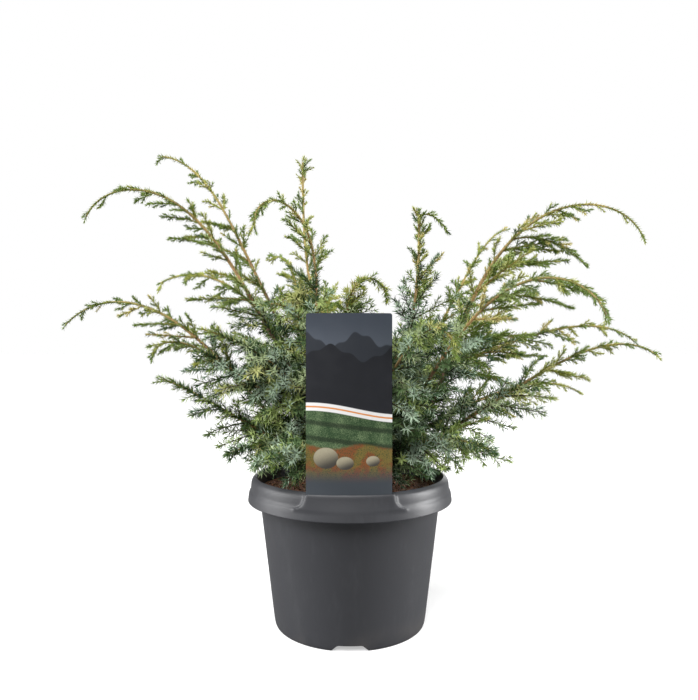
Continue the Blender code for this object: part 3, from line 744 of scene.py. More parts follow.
# name, heading, height of the foot on the trunk, elevation at the foot, when risen and at the tip, how late
# it bends over, length, reach of its side twigs
shoots = [
    ("left_high", 164, 0.070, 39, 63, 6, 4.2, 0.336, 0.036),
    ("left_arch", 186, 0.054, 40, 61, -75, 3.2, 0.361, 0.042),
    ("left_mid", 150, 0.044, 52, 53, -20, 1.4, 0.324, 0.032),
    ("left_low", 172, 0.030, 12, 47.6, -50, 2.27, 0.3485, 0.038),
    ("left_front", 210, 0.038, 26, 34, -67, 8.0, 0.211, 0.038),
    ("left_foot", 192, 0.016, 10, 31, 12, 8.0, 0.195, 0.034),
    ("crown_tall", 112, 0.078, 52, 52, 95, 1.2, 0.296, 0.034),
    ("crown_nod", 230, 0.080, 10, 92, -118, 3.0, 0.264, 0.030),
    ("crown_short", 132, 0.060, 48, 65, -27, 5.3, 0.219, 0.028),
    ("crown_back", 50, 0.082, 52, 108.6, -84, 1.66, 0.173, 0.018),
    ("right_tall", 4, 0.066, 10, 67, 92, 0.6, 0.226, 0.056),
    ("right_high", 30, 0.034, 10, 59, 7, 8.0, 0.317, 0.040),
    ("right_arch", 352, 0.026, 10, 70.2, -74, 2.66, 0.405, 0.080),
    ("right_front", 320, 0.040, 10, 54.3, -77, 2.5, 0.314, 0.044),
    ("right_back", 16, 0.048, 45, 19.3, -41, 3.9, 0.355, 0.040),
    ("right_low", 348, 0.010, 14, 33.6, -51, 5.4, 0.308, 0.046),
    ("right_foot", 30, 0.010, 22, 20, -28, 2.8, 0.334, 0.044),
    ("front_arch", 300, 0.056, 27, 47, -49, 2.4, 0.196, 0.030),
    ("front_left", 238, 0.050, 40, 62, -20, 2.6, 0.175, 0.030),
    ("back_arch", 97, 0.054, 40, 46, -38, 1.8, 0.300, 0.040),
    ("back_low", 70, 0.024, 20, 42, -45, 2.6, 0.280, 0.038),
]
# Masses round the trunk: name, count, then as above, and how uneven their lengths are
tiers = [
    ("low", 6, 20, 0.012, 20, 24, -22, 1.6, 0.128, 0.046, 0.12),
    ("mid", 5, 0, 0.042, 35, 44, 12, 1.5, 0.180, 0.052, 0.03),
    ("top", 3, 340, 0.072, 50, 68, 74, 1.2, 0.092, 0.042, 0.14),
]


def trunkPoint(height):
    return np.array([math.tan(growth["trunkLean"]) * height, 0, soil["top"] + growth["gap"] + height])


def arcLine(heading, foot, spread, rise, tip, bend, length, samples=80):
    # From the trunk's middle the shoot turns up from spread to rise, and then bends over to tip
    share = (np.arange(samples) + 0.5) / samples
    up = np.clip(share / growth["turn"], 0, 1)
    up = up * up * (3 - 2 * up)
    over = np.clip((share - growth["turn"]) / (1 - growth["turn"]), 0, 1) ** bend
    elevation = np.radians(spread + (rise - spread) * up + (tip - rise) * over)
    turned = np.radians(heading + growth["sway"] * np.sin(math.tau * share))
    level = np.cos(elevation)
    steps = np.stack([level * np.cos(turned), level * np.sin(turned), np.sin(elevation)], 1)
    points = np.cumsum(steps * length / samples, 0)
    points = np.concatenate([[[0, 0, 0]], points]) + trunkPoint(foot)
    across = math.radians(heading)
    return makeLine(points, (-math.sin(across), math.cos(across), 0))


def limbRadius(length, share):
    base = growth["limbSlim"] * (growth["limbBase"] + growth["limbGrowth"] * length)
    return growth["limbTip"] + (base - growth["limbTip"]) * (1 - share) ** growth["limbTaper"]


def sideShoots(line, start, count, seed, outer=False):
    draw = random.Random(seed)
    turn = draw.uniform(0, math.tau)
    for number in range(count):
        along = (number + growth["firstShoot"]) / count
        share = start + (1 - start) * along
        tangent, side, normal = frameAt(line, share)
        turn += growth["roundStep"] + draw.uniform(-growth["roundSpread"], growth["roundSpread"])
        rise = abs(math.sin(turn)) if outer else math.sin(turn)
        hang = 1 if outer else 1 + growth["hang"] * rise
        outward = math.cos(turn) * side + rise * normal
        first, last = growth["lean"]
        lean = first + (last - first) * along + draw.uniform(-growth["leanSpread"], growth["leanSpread"])
        direction = unit(math.cos(lean) * tangent + math.sin(lean) * outward)
        roll = draw.uniform(-growth["roll"], growth["roll"])
        across = math.cos(roll) * np.cross(direction, outward) + math.sin(roll) * outward
        yield share, along, direction, across, hang * draw.uniform(*growth["sizes"])


def reachAt(reach, along):
    first, last = growth["reachFade"]
    return reach + (growth["endReach"] - reach) * eased((along - first) / (last - first))


def nodePoints(node):
    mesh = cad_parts[node].data
    points = np.empty(len(mesh.vertices) * 3)
    mesh.vertices.foreach_get("co", points)
    return points.reshape(-1, 3)


def startShare(line, points):
    # The share of the line at which the solid's flat root end stands
    shares = np.arange(*growth["rootShares"])
    near = np.linalg.norm(points[None] - pointAt(line, shares)[:, None], axis=2).min(1)
    found = np.nonzero(near < growth["rootNear"])[0]
    return shares[found[0]] if len(found) else shares[0]


def tierTurn(heading, arc, points):
    # The solids turn a crowded mass round the trunk in steps: the turn that fits its stem best
    best = None
    for step in range(-growth["headingTries"], growth["headingTries"] + 1):
        line = arcLine(heading + step * growth["headingStep"], *arc)
        places = pointAt(line, np.linspace(*growth["fitShares"]))
        miss = np.linalg.norm(points[None] - places[:, None], axis=2).min(1).mean()
        if best is None or miss < best[0]:
            best = (miss, step)
    return heading + best[1] * growth["headingStep"]


def findMasses():
    masses = []
    for name, heading, foot, spread, rise, tip, bend, length, reach in shoots:
        line = arcLine(heading, foot, spread, rise, tip, bend, length)
        limb = startShare(line, nodePoints("bough_" + name))
        start = growth["bare"] + growth["gap"] / line["length"]
        masses.append({"name": name, "line": line, "limb": limb, "bare": growth["bare"], "start": start,
                       "reach": reach, "pitch": growth["boughPitch"]})
    for tier, count, heading, foot, spread, rise, tip, bend, length, reach, uneven in tiers:
        for number in range(count):
            name = f"{tier}_{number + 1}"
            points = nodePoints("foliage_" + name)
            arc = (foot + growth["tierStagger"] * (number % 2), spread, rise, tip, bend,
                   length * (1 + uneven * (number % 3)))
            line = arcLine(tierTurn(heading + 360 * number / count, arc, points), *arc)
            start = startShare(line, points)
            masses.append({"name": name, "line": line, "limb": start, "bare": 0, "start": start,
                           "reach": reach, "pitch": growth["tierPitch"]})
    return masses


# Twigs: each spray of the solids becomes a twig here, with finer twigs between them. The plant has two
# kinds of foliage: young twigs low in the middle, like bottle brushes with long spreading needles, and
# grown shoots further out, with short side tufts and needles pressed forward. Pairs go from young to grown.
twigs = {
    # finer twigs for each spray, by the kind of foliage at this share of the mass's line
    "between": (4.8, 1.9),
    "kindAt": 0.6,
    "betweenSize": (0.40, 0.95),
    # slender tips: the share they start at, the shoots that have them, by length and by name, and how much
    # of its length a twig keeps there
    "slimFrom": 0.86,
    "slimLength": 0.30,
    "slimToo": ("crown_back",),
    "slim": 0.65,
    "seed": 700,
    "limbPitch": 0.0048,
    "limbFrom": 0.08,
    "limbReach": (0.018, 0.036),
    "tipFree": 0.006,
    # a twig that doesn't keep clear is tried again, shorter
    "tries": 3,
    "retryShare": 0.6,
    "tuftLean": (0.9, 1.6),
    "tuftSizes": (0.7, 1.1),
    "follow": (0.15, 0.55),
    "droop": ((0.05, 0.45), (0.15, 0.75)),
    "sway": 0.14,
    # finer twigs on a twig
    "childPitch": (0.0096, 0.0042),
    "childLean": ((52, 38), (46, 30)),
    "childShare": (0.42, 0.22),
    "childLeast": (0.0070, 0.0048),
    "newTint": 0.45,
    "childDroop": 0.1,
    "childFrom": 0.16,
    "childTo": 0.96,
    "childJitter": (0.3, 0.7),
    "childRoll": 0.9,
    "childLeanSpread": 8,
    "childTaper": 0.7,
    "childSizes": (0.75, 1.15),
    "tuft": (0.0180, 0.0090),
    "step": 0.0045,
    "radius": (0.00030, 0.014, 0.00085),
    "tipRadius": 0.00024,
    # the wood's colour goes by the twig's radius and by how grown it is
    "orangeRadius": 0.00075,
    "brownTo": 0.6,
    "oliveFrom": 0.3,
    "youngZone": (0.150, 0.165, 0.140),
    "youngEdge": (0.90, 1.35),
}
keepOut = {
    "besideLabel": 0.0065,
    "behindLabel": 0.0130,
    "aboveLabel": 0.004,
    "insideRim": 0.0050,
    "aboveRim": 0.0100,
    "abovePeat": 0.0035,
    # the sky that shows over the label's right end: low and high corner
    "sky": ((0.0135, -0.06, 0.2860), (0.0420, 0.030, 0.3200)),
}
# Needle colours: a green, and a pale bloom for the side that faces the twig's tip
tints = {
    "steel": ((0.074, 0.140, 0.070), (0.360, 0.465, 0.335)),
    "grey": ((0.120, 0.180, 0.065), (0.395, 0.480, 0.255)),
    # deep: a near-black green on whole twigs, dealt most in the dense young middle: painted shade for the
    # dark gaps between the needles
    "deep": ((0.024, 0.056, 0.014), (0.090, 0.150, 0.058)),
    "leaf": ((0.145, 0.215, 0.042), (0.320, 0.405, 0.140)),
    "fresh": ((0.330, 0.360, 0.080), (0.520, 0.540, 0.220)),
    "straw": ((0.480, 0.420, 0.130), (0.620, 0.560, 0.260)),
}
tintShares = {
    # shares follow the tints' order; the young mix gives the deep tint, painted shade, to about a quarter of
    # its twigs
    "young": (0.32, 0.20, 0.26, 0.20, 0.02, 0.00),
    "grown": (0.00, 0.08, 0.02, 0.55, 0.30, 0.05),
    "light": (0.02, 0.14, 0.00, 0.24, 0.48, 0.12),
}
lightMasses = ("top_1", "top_2", "top_3", "back_arch", "crown_back", "crown_tall")
# Twigs that show singly in the photograph: mass, share of its line, direction, length, droop
singleTwigs = [
    ("right_tall", 0.975, (1.0, 0.0, 0.45), 0.035, 2.8),
    ("right_arch", 0.66, (1.0, 0.0, 0.35), 0.078, 1.9),
    ("right_front", 0.48, (1.0, 0.5, 0.80), 0.062, 0.9),
    ("right_front", 0.46, (1.0, 0.4, 0.40), 0.080, 0.9),
    ("right_back", 0.44, (1.0, -0.1, 0.12), 0.075, 0.5),
    ("right_arch", 0.58, (1.0, 0.0, 0.15), 0.072, 0.6),
    ("right_front", 0.66, (1.0, 0.0, 0.10), 0.058, 0.8),
    ("right_front", 0.76, (1.0, -0.2, -0.10), 0.036, 0.6),
    ("right_front", 0.81, (1.0, 0.2, -0.25), 0.032, 0.5),
    ("right_front", 0.85, (1.0, -0.2, -0.50), 0.028, 0.4),
    ("right_front", 0.90, (0.9, 0.0, -0.80), 0.022, 0.3),
    ("left_arch", 0.57, (-1.0, 0.0, 0.35), 0.046, 0.7),
    ("left_arch", 0.65, (-1.0, 0.0, 0.45), 0.034, 0.8),
    ("left_high", 0.64, (-1.0, 0.0, 0.10), 0.024, 0.3),
    ("left_high", 0.57, (-0.8, 0.0, 0.45), 0.021, 0.2),
    ("left_low", 0.60, (-1.0, 0.0, 0.10), 0.042, 0.5),
    ("left_low", 0.53, (-0.3, 0.0, 1.00), 0.026, 0.0),
    ("left_front", 0.66, (-0.2, 0.0, 1.00), 0.034, 0.0),
    ("back_arch", 0.50, (-0.1, 0.0, 1.00), 0.048, 0.0),
    ("low_6", 0.60, (1.0, 0.0, 0.50), 0.052, 0.2),
    ("right_back", 0.36, (1.0, -0.2, -0.30), 0.060, 0.3),
    ("mid_1", 0.62, (1.0, -0.1, -0.20), 0.060, 0.4),
    ("right_foot", 0.40, (0.6, -0.2, 1.00), 0.040, 0.2),
    ("right_foot", 0.50, (0.5, -0.2, 1.00), 0.036, 0.2),
    ("crown_tall", 0.57, (0.7, 0.0, 1.00), 0.040, 0.2),
]
# Tufts: mass, first and last share, count, length
tufts = [
    ("crown_tall", 0.92, 0.97, 9, 0.0095),
    ("crown_tall", 0.81, 0.87, 6, 0.0085),
    ("right_tall", 0.88, 0.97, 8, 0.0090),
    ("right_tall", 0.76, 0.81, 5, 0.0100),
    ("top_2", 0.78, 0.98, 12, 0.0220),
    ("top_3", 0.70, 0.98, 14, 0.0240),
    ("crown_short", 0.42, 0.62, 12, 0.0240),
    ("back_arch", 0.50, 0.85, 18, 0.0300),
]
# The upright leaders, and the shares between which they are bare but for their tufts
upright = {"crown_tall": (0.60, 0.90), "right_tall": (0.55, 0.88)}
stems = []


def grownMix(pair, grown):
    return pair[0] + (pair[1] - pair[0]) * grown


def keepsClear(points):
    # No growth through the label, the rim or the peat, into the gap of sky, or out of the solids' box
    x, y, z = points.T
    radius = np.hypot(x, y)
    blocked = np.abs(x - label["middle"]) < label["width"] / 2 + keepOut["besideLabel"]
    blocked &= (z < label["top"] + keepOut["aboveLabel"]) & (y < -label["front"] + keepOut["behindLabel"])
    blocked |= (radius > pot["rimInner"] - keepOut["insideRim"]) & (z < pot["top"] + keepOut["aboveRim"])
    blocked |= z < soil["top"] + keepOut["abovePeat"]
    (left, front, low), (right, back, high) = keepOut["sky"]
    blocked |= (x > left) & (x < right) & (y > front) & (y < back) & (z > low) & (z < high)
    blocked |= (points < np.array(cadBox[0])).any(1) | (points > np.array(cadBox[1])).any(1)
    return not blocked.any()


def grownShare(point):
    # 0 where the needles are young and spreading, low in the middle, and 1 out on the arching shoots
    wide, middle, tall = twigs["youngZone"]
    far = math.hypot(math.hypot(point[0], point[1]) / wide, (point[2] - middle) / tall)
    first, last = twigs["youngEdge"]
    return eased((far - first) / (last - first))


def chooseTint(mass, grown, draw):
    if mass["name"] in lightMasses:
        shares = tintShares["light"]
    else:
        shares = [grownMix(pair, grown) for pair in zip(tintShares["young"], tintShares["grown"])]
    return draw.choices(list(tints), shares)[0]


def twigPath(start, direction, parent, length, droop, follow, draw):
    count = max(3, math.ceil(length / twigs["step"])) + 1
    share = ((np.arange(count - 1) + 0.5) / (count - 1))[:, None]
    sway = np.array([draw.uniform(-twigs["sway"], twigs["sway"]) for _ in range(3)])
    steps = units(direction + share * (parent * follow + np.array([0, 0, -droop]) + sway))
    return start + np.concatenate([[[0, 0, 0]], np.cumsum(steps * length / (count - 1), 0)])


def growTwig(mass, start, direction, across, parent, length, tint, grown, draw, level=1, droop=None):
    if level > 1:
        droop = twigs["childDroop"]
    elif droop is None:
        droop = draw.uniform(*[grownMix(pair, grown) for pair in zip(*twigs["droop"])])
    for _ in range(twigs["tries"]):
        points = twigPath(start, direction, parent, length, droop, grownMix(twigs["follow"], grown), draw)
        if keepsClear(points[1:]):
            break
        length *= twigs["retryShare"]
    else:
        return
    least, gain, most = twigs["radius"]
    radius = min(least + gain * length, most)
    stems.append({"points": points, "radius": radius, "level": level, "tint": tint, "grown": grown})
    if length < grownMix(twigs["tuft"], grown):
        return
    line = makeLine(points, across)
    count = max(2, round(length / grownMix(twigs["childPitch"], grown)))
    first, last = [grownMix(pair, grown) for pair in zip(*twigs["childLean"])]
    for number in range(count):
        along = number + draw.uniform(*twigs["childJitter"])
        share = twigs["childFrom"] + (twigs["childTo"] - twigs["childFrom"]) * along / count
        tangent, side, normal = frameAt(line, share)
        roll = draw.uniform(-twigs["childRoll"], twigs["childRoll"])
        outward = (-1) ** number * math.cos(roll) * side + math.sin(roll) * normal
        uneven = draw.uniform(-twigs["childLeanSpread"], twigs["childLeanSpread"])
        lean = math.radians(first + (last - first) * share + uneven)
        childDirection = unit(math.cos(lean) * tangent + math.sin(lean) * outward)
        size = length * grownMix(twigs["childShare"], grown) * (1 - share) ** twigs["childTaper"]
        size = max(grownMix(twigs["childLeast"], grown), size * draw.uniform(*twigs["childSizes"]))
        childAcross = np.cross(childDirection, normal)
        childTint = chooseTint(mass, grown, draw) if draw.random() < twigs["newTint"] else tint
        growTwig(mass, pointAt(line, share), childDirection, childAcross, tangent, size, childTint, grown,
                 draw, level + 1)


def growMass(mass, seed):
    line, start, reach = mass["line"], mass["start"], mass["reach"]
    draw = random.Random(twigs["seed"] + seed)
    count = round(line["length"] * (1 - start) / mass["pitch"])
    fine = round(count * grownMix(twigs["between"], grownShare(pointAt(line, twigs["kindAt"]))))
    slimTip = mass["bare"] and line["length"] > twigs["slimLength"] or mass["name"] in twigs["slimToo"]
    planned = [(*side, 1.0) for side in sideShoots(line, start, count, seed, reach > growth["longReach"])]
    for side in sideShoots(line, start, fine, twigs["seed"] + seed):
        planned.append((*side, draw.uniform(*twigs["betweenSize"])))
    for share, along, direction, across, size, part in planned:
        length = max(growth["least"], reachAt(reach, along) * size) * part
        if share > 1 - twigs["tipFree"] / line["length"]:
            continue
        if slimTip and share > twigs["slimFrom"]:
            # The shoot ends in a slender, nearly bare tip
            if part < 1:
                continue
            length *= twigs["slim"]
        point = pointAt(line, share)
        grown = grownShare(point + direction * length * 0.5)
        tint = chooseTint(mass, grown, draw)
        growTwig(mass, point, direction, across, frameAt(line, share)[0], length, tint, grown, draw)
    if mass["bare"]:
        growOnLimb(mass, seed, draw)
    for name, share, direction, length, droop in singleTwigs:
        if name == mass["name"]:
            tangent, side = frameAt(line, share)[:2]
            growTwig(mass, pointAt(line, share), unit(np.array(direction)), side, tangent, length, "leaf", 1,
                     draw, 1, droop)
    for name, first, last, count, length in tufts:
        if name == mass["name"]:
            growTuft(mass, np.linspace(first, last, count), length, draw)


def growOnLimb(mass, seed, draw):
    # Short shoots on the limb below its mass, among the masses round the trunk
    line, first, last = mass["line"], twigs["limbFrom"], mass["bare"]
    count = round(line["length"] * (last - first) / twigs["limbPitch"])
    for share, _, direction, across, _ in sideShoots(line, 0, count, 2 * twigs["seed"] + seed):
        share = first + (last - first) * share
        tint = chooseTint(mass, 0, draw)
        length = draw.uniform(*twigs["limbReach"])
        tangent = frameAt(line, share)[0]
        growTwig(mass, pointAt(line, share), direction, across, tangent, length, tint, 0, draw)


def growTuft(mass, shares, length, draw):
    for number, share in enumerate(shares):
        turn = number * growth["roundStep"]
        tangent, side, normal = frameAt(mass["line"], share)
        outward = math.cos(turn) * side + math.sin(turn) * normal
        direction = unit(tangent + draw.uniform(*twigs["tuftLean"]) * outward)
        point = pointAt(mass["line"], share)
        size = length * draw.uniform(*twigs["tuftSizes"])
        tint = draw.choices(list(tints), tintShares["light"])[0]
        growTwig(mass, point, direction, side, tangent, size, tint, grownShare(point), draw, 2)


# Needles: closed slivers of four faces, pale on the side that faces the twig's tip, in whorls of three
needles = {
    "length": (0.0090, 0.0050),
    "width": (0.00122, 0.00108),
    "angle": (math.radians(62), math.radians(38)),
    "pitch": (0.0025, 0.00150),
    "near": 0.0006,
    "spread": 0.20,
    "turnSpread": 0.18,
    "lengths": (0.72, 1.12),
    "tipAngle": 0.45,
    "tipFrom": 0.9,
    "firstWhorl": 0.7,
    "lastWhorl": 0.975,
    "whorlTurn": 1.05,
    "widths": (0.85, 1.1),
    "sunk": 0.5,
    "shorter": 0.22,
    "widest": 0.28,
    "keel": 0.36,
    # roughness and specular of the green and of the bloom
    "greenFinish": (0.55, 0.18),
    "bloomFinish": (0.7, 0.12),
    # along the leaders: length of a stretch, ends, whorl sets on a young and on a grown stretch
    "leaderStep": 0.05,
    "leaderPoints": 5,
    "leaderTo": 0.99,
    "leaderEnd": 0.9985,
    "leaderSets": (4, 1),
    "leaderSeed": 5,
    "pieceLimit": 49000,
    "seed": 91,
}


def needleRows(stem, rng):
    # Each row holds a needle's root, direction, twig direction, length and width
    grown = stem["grown"]
    line = makeLine(stem["points"], (0, 0, 1))
    count = max(2, round(line["length"] / grownMix(needles["pitch"], grown)))
    share = np.append((np.arange(count) + needles["firstWhorl"]) / count, needles["lastWhorl"])
    along = share * line["length"]
    ahead = np.minimum(along + needles["near"], line["length"])
    tangent = units(placeAt(line, ahead) - placeAt(line, ahead - 2 * needles["near"]))
    side, normal = crossways(tangent, tangent)
    turn = (np.arange(len(share)) * needles["whorlTurn"] + rng.uniform(0, math.tau))[:, None]
    turn = turn + np.arange(3) * math.tau / 3
    turn = turn + rng.normal(0, needles["turnSpread"], turn.shape)
    outward = np.cos(turn)[..., None] * side[:, None] + np.sin(turn)[..., None] * normal[:, None]
    pressed = np.where(share > needles["tipFrom"], needles["tipAngle"], 1)[:, None]
    angle = grownMix(needles["angle"], grown) * pressed + rng.normal(0, needles["spread"], turn.shape)
    forward = np.broadcast_to(tangent[:, None], outward.shape)
    direction = np.cos(angle)[..., None] * forward + np.sin(angle)[..., None] * outward
    length = grownMix(needles["length"], grown) * rng.uniform(*needles["lengths"], turn.shape)
    length = length * (1 - needles["shorter"] * share[:, None])
    root = placeAt(line, along)[:, None] + outward * stem["radius"] * needles["sunk"]
    width = grownMix(needles["width"], grown) * rng.uniform(*needles["widths"], turn.shape)
    return np.concatenate([root, direction, forward, length[..., None], width[..., None]], 2).reshape(-1, 11)


def needleMesh(name, rows, materials):
    root, direction, ahead = rows[:, 0:3], rows[:, 3:6], rows[:, 6:9]
    length, width = rows[:, 9:10], rows[:, 10:11]
    upper = ahead - direction * (ahead * direction).sum(1)[:, None]
    upper /= np.maximum(np.linalg.norm(upper, axis=1)[:, None], 1e-6)
    side = np.cross(direction, upper)
    middle = root + direction * length * needles["widest"] + upper * width * needles["keel"]
    corners = [root, middle + side * width / 2, middle - side * width / 2, root + direction * length]
    points = np.stack(corners, 1).reshape(-1, 3)
    # Corners are root, left, right and tip: two pale faces above, and two green ones below
    pattern = np.array([(0, 1, 2), (3, 2, 1), (0, 3, 1), (0, 2, 3)])
    faces = (pattern[None] + 4 * np.arange(len(rows))[:, None, None]).reshape(-1, 3)
    return arrayMesh(name, points, faces.tolist(), np.tile([1, 1, 0, 0], len(rows)), materials)


def plainMaterial(name, colour, roughness, specular):
    return newMaterial(name, roughness, Base_Color=(*colour, 1), Specular_IOR_Level=specular)[0]


def makeNeedles():
    rng = np.random.default_rng(needles["seed"])
    dealt = {tint: [] for tint in tints}
    for stem in stems:
        dealt[stem["tint"]].append(needleRows(stem, rng))
    total = 0
    for tint, (green, pale) in tints.items():
        rows = np.concatenate(dealt[tint])
        total += len(rows)
        finishes = [plainMaterial(tint + "Green", green, *needles["greenFinish"]),
                    plainMaterial(tint + "Bloom", pale, *needles["bloomFinish"])]
        chunks = np.array_split(rows, math.ceil(len(rows) / needles["pieceLimit"]))
        for number, chunk in enumerate(chunks):
            name = tint + "Needles" + (str(number + 1) if len(chunks) > 1 else "")
            place(needleMesh(name, chunk, finishes), "needle")
    print("needles", total)


# Fine twigs: tubes from arrays, in plain tints from brown wood to green tips
tube = {
    "sides": (5, 3),
    "roughness": 0.65,
    "specular": 0.25,
}
twigTints = {
    "brown": (0.048, 0.036, 0.018),
    "olive": (0.190, 0.180, 0.055),
    "orange": (0.330, 0.200, 0.080),
}


def twigTint(stem):
    if stem["level"] == 1 and stem["grown"] < twigs["brownTo"]:
        return "brown"
    if stem["level"] == 1 and stem["radius"] > twigs["orangeRadius"]:
        return "orange"
    return "olive" if stem["grown"] > twigs["oliveFrom"] else "brown"


def tubes(group, sides):
    # Stems with the same number of points make one block of rings
    points = np.stack([stem["points"] for stem in group])
    base = np.array([stem["radius"] for stem in group])[:, None]
    count = points.shape[1]
    radius = base + (twigs["tipRadius"] - base) * np.linspace(0, 1, count)[None]
    tangent = units(np.gradient(points, axis=1))
    side, normal = crossways(tangent, tangent[:, :1])
    turn = np.arange(sides) * math.tau / sides
    ring = np.cos(turn)[:, None] * side[:, :, None] + np.sin(turn)[:, None] * normal[:, :, None]
    verts = (points[:, :, None] + ring * radius[..., None, None]).reshape(-1, 3)
    after = (np.arange(sides) + 1) % sides
    quads = np.stack([np.arange(sides), np.arange(sides) + sides, after + sides, after], 1)
    quads = (quads[None] + sides * np.arange(count - 1)[:, None, None]).reshape(-1, 4)
    ends = [list(range(sides)), [sides * (count - 1) + corner for corner in reversed(range(sides))]]
    blocks = np.arange(len(group))[:, None, None] * sides * count
    faces = (quads[None] + blocks).reshape(-1, 4).tolist()
    faces += (np.array(ends)[None] + blocks).reshape(-1, sides).tolist()
    return verts, faces


def joinTwigs(name, chosen, sides, materials):
    points, faces, slots, used = [], [], [], 0
    groups = {}
    for stem in chosen:
        groups.setdefault((len(stem["points"]), twigTint(stem)), []).append(stem)
    for (_, tint), group in groups.items():
        verts, made = tubes(group, sides)
        faces += [[corner + used for corner in face] for face in made]
        slots += [list(twigTints).index(tint)] * len(made)
        used += len(verts)
        points.append(verts)
    obj = arrayMesh(name, np.concatenate(points), faces, slots, materials)
    obj.data.shade_smooth()
    place(obj, "bark")
    print(name, sum(len(face) - 2 for face in faces), "triangles")


def makeTwigs():
    materials = [plainMaterial(tint + "Twig", colour, tube["roughness"], tube["specular"])
                 for tint, colour in twigTints.items()]
    onSide, onTwig = tube["sides"]
    joinTwigs("sideTwigs", [stem for stem in stems if stem["level"] == 1], onSide, materials)
    joinTwigs("fineTwigs", [stem for stem in stems if stem["level"] > 1], onTwig, materials)


# Trunk and limbs with bark relief, swept ring by ring
bark = {
    "sides": 12,
    "stemSides": 8,
    "ring": 0.0030,
    "trunkFlare": 0.0105,
    "trunkRadius": 0.0072,
    "trunkTip": 0.0038,
    "flareShare": 0.18,
    "trunkSides": 28,
    "trunkRings": 48,
    "relief": 0.0007,
    "oldest": 0.95,
    "tipFree": 0.004,
    "smoothAngle": 50,
    "uprightRadius": 0.0010,
    "leaderSwell": 0.35,
    "swellOver": 0.12,
    "across": 620,
    "along": 170,
    # old: dark brown of old bark, made darker still as painted shade for the trunk and bare limbs inside the
    # foliage
    "oldAndShaded": (0.070, 0.042, 0.026),
    "flake": (0.165, 0.105, 0.068),
    "crack": (0.016, 0.010, 0.007),
    "young": (0.400, 0.240, 0.110),
    "green": (0.330, 0.255, 0.100),
}


def barkMaterial():
    material, tree, shader = newMaterial("juniper bark", 0.75, Specular_IOR_Level=0.3)
    age = addNode(tree, "ShaderNodeAttribute", {"attribute_name": "age"}).outputs["Fac"]
    strips = mottled(tree, 420.0, 1500.0, 0.4, objectSpots(tree, (1, 1, 0.3)))
    oldAndShaded = blend(tree, fade(tree, strips[0], 0.42, 0.60), bark["oldAndShaded"], bark["flake"])
    oldAndShaded = blend(tree, fade(tree, strips[2], 0.42, 0.34), oldAndShaded, bark["crack"])
    young = blend(tree, fade(tree, age, 0.55, 0.15), bark["young"], bark["green"])
    young = blend(tree, fade(tree, strips[2], 0.48, 0.62, 0.0, 0.45), young, bark["oldAndShaded"])
    # the old colour, partly real old bark and partly painted shade, covers the trunk and the bare inner parts
    # of the limbs
    tree.links.new(blend(tree, fade(tree, age, 0.46, 0.66), young, oldAndShaded), shader.inputs["Base Color"])
    bumpInto(tree, shader, strips[2], 0.6, 0.0004)
    return material


def sweep(bm, centres, radii, side, sides, ages):
    # A disc drawn out from centre to centre, with the age of its wood on each ring
    layer = bm.verts.layers.float.get("age") or bm.verts.layers.float.new("age")
    places = []
    for number, centre in enumerate(centres):
        ahead = centres[min(number + 1, len(centres) - 1)] - centres[max(number - 1, 0)]
        tangent = Vector(unit(ahead))
        across = (Vector(side) - tangent * Vector(side).dot(tangent)).normalized()
        turned = Matrix((across, tangent.cross(across), tangent)).transposed().to_4x4()
        places.append(Matrix.Translation(Vector(centre)) @ turned)
    made = bmesh.ops.create_circle(bm, cap_ends=True, segments=sides, radius=radii[0], matrix=places[0])
    ring = made["verts"]
    face = ring[0].link_faces[0]
    for vert in ring:
        vert[layer] = ages[0]
    for number in range(1, len(centres)):
        made = bmesh.ops.extrude_face_region(bm, geom=[face])["geom"]
        ring = [item for item in made if isinstance(item, bmesh.types.BMVert)]
        face = [item for item in made if isinstance(item, bmesh.types.BMFace)][0]
        scale = Matrix.Scale(radii[number] / radii[number - 1], 4)
        shape = places[number] @ scale @ places[number - 1].inverted()
        bmesh.ops.transform(bm, matrix=shape, verts=ring)
        for vert in ring:
            vert[layer] = ages[number]


def trunkInto(bm):
    share = np.linspace(0, 1, bark["trunkRings"])
    centres = [trunkPoint(part * growth["trunkHeight"]) for part in share]
    flare = (bark["trunkFlare"] - bark["trunkRadius"]) * np.clip(1 - share / bark["flareShare"], 0, 1) ** 2
    radii = bark["trunkRadius"] + (bark["trunkTip"] - bark["trunkRadius"]) * share + flare
    sweep(bm, centres, radii, (0, 1, 0), bark["trunkSides"], [1] * len(share))


def limbInto(bm, mass, start, end, sides):
    line = mass["line"]
    share = np.linspace(start, end, max(4, round(line["length"] * (end - start) / bark["ring"])))
    least = bark["uprightRadius"] if mass["name"] in upright else 0
    swell = bark["leaderSwell"] if sides == bark["stemSides"] else 0
    radii = []
    for part in share:
        thick = 1 + swell * eased((part - start) / bark["swellOver"])
        radii.append(max(limbRadius(line["length"], part), least) * thick)
    sweep(bm, pointAt(line, share), radii, line["side"], sides, bark["oldest"] - bark["oldest"] * share)


def joinLimbs(name, builders, nodes, material):
    # Each limb is built by itself, because extruding slows down in a growing mesh
    whole = bmesh.new()
    for builder, values in builders:
        one = bmesh.new()
        builder(one, *values)
        mesh = bpy.data.meshes.new("limb")
        one.to_mesh(mesh)
        one.free()
        whole.from_mesh(mesh)
        bpy.data.meshes.remove(mesh)
    bmesh.ops.recalc_face_normals(whole, faces=whole.faces)
    whole.normal_update()
    layer = whole.verts.layers.float["age"]
    for vert in whole.verts:
        x, y, z = vert.co
        ridge = noise.noise(Vector((x * bark["across"], y * bark["across"], z * bark["along"])))
        vert.co += vert.normal * ridge * bark["relief"] * vert[layer] ** 2
    place(finished(whole, name, material, bark["smoothAngle"]), "bark", *nodes)


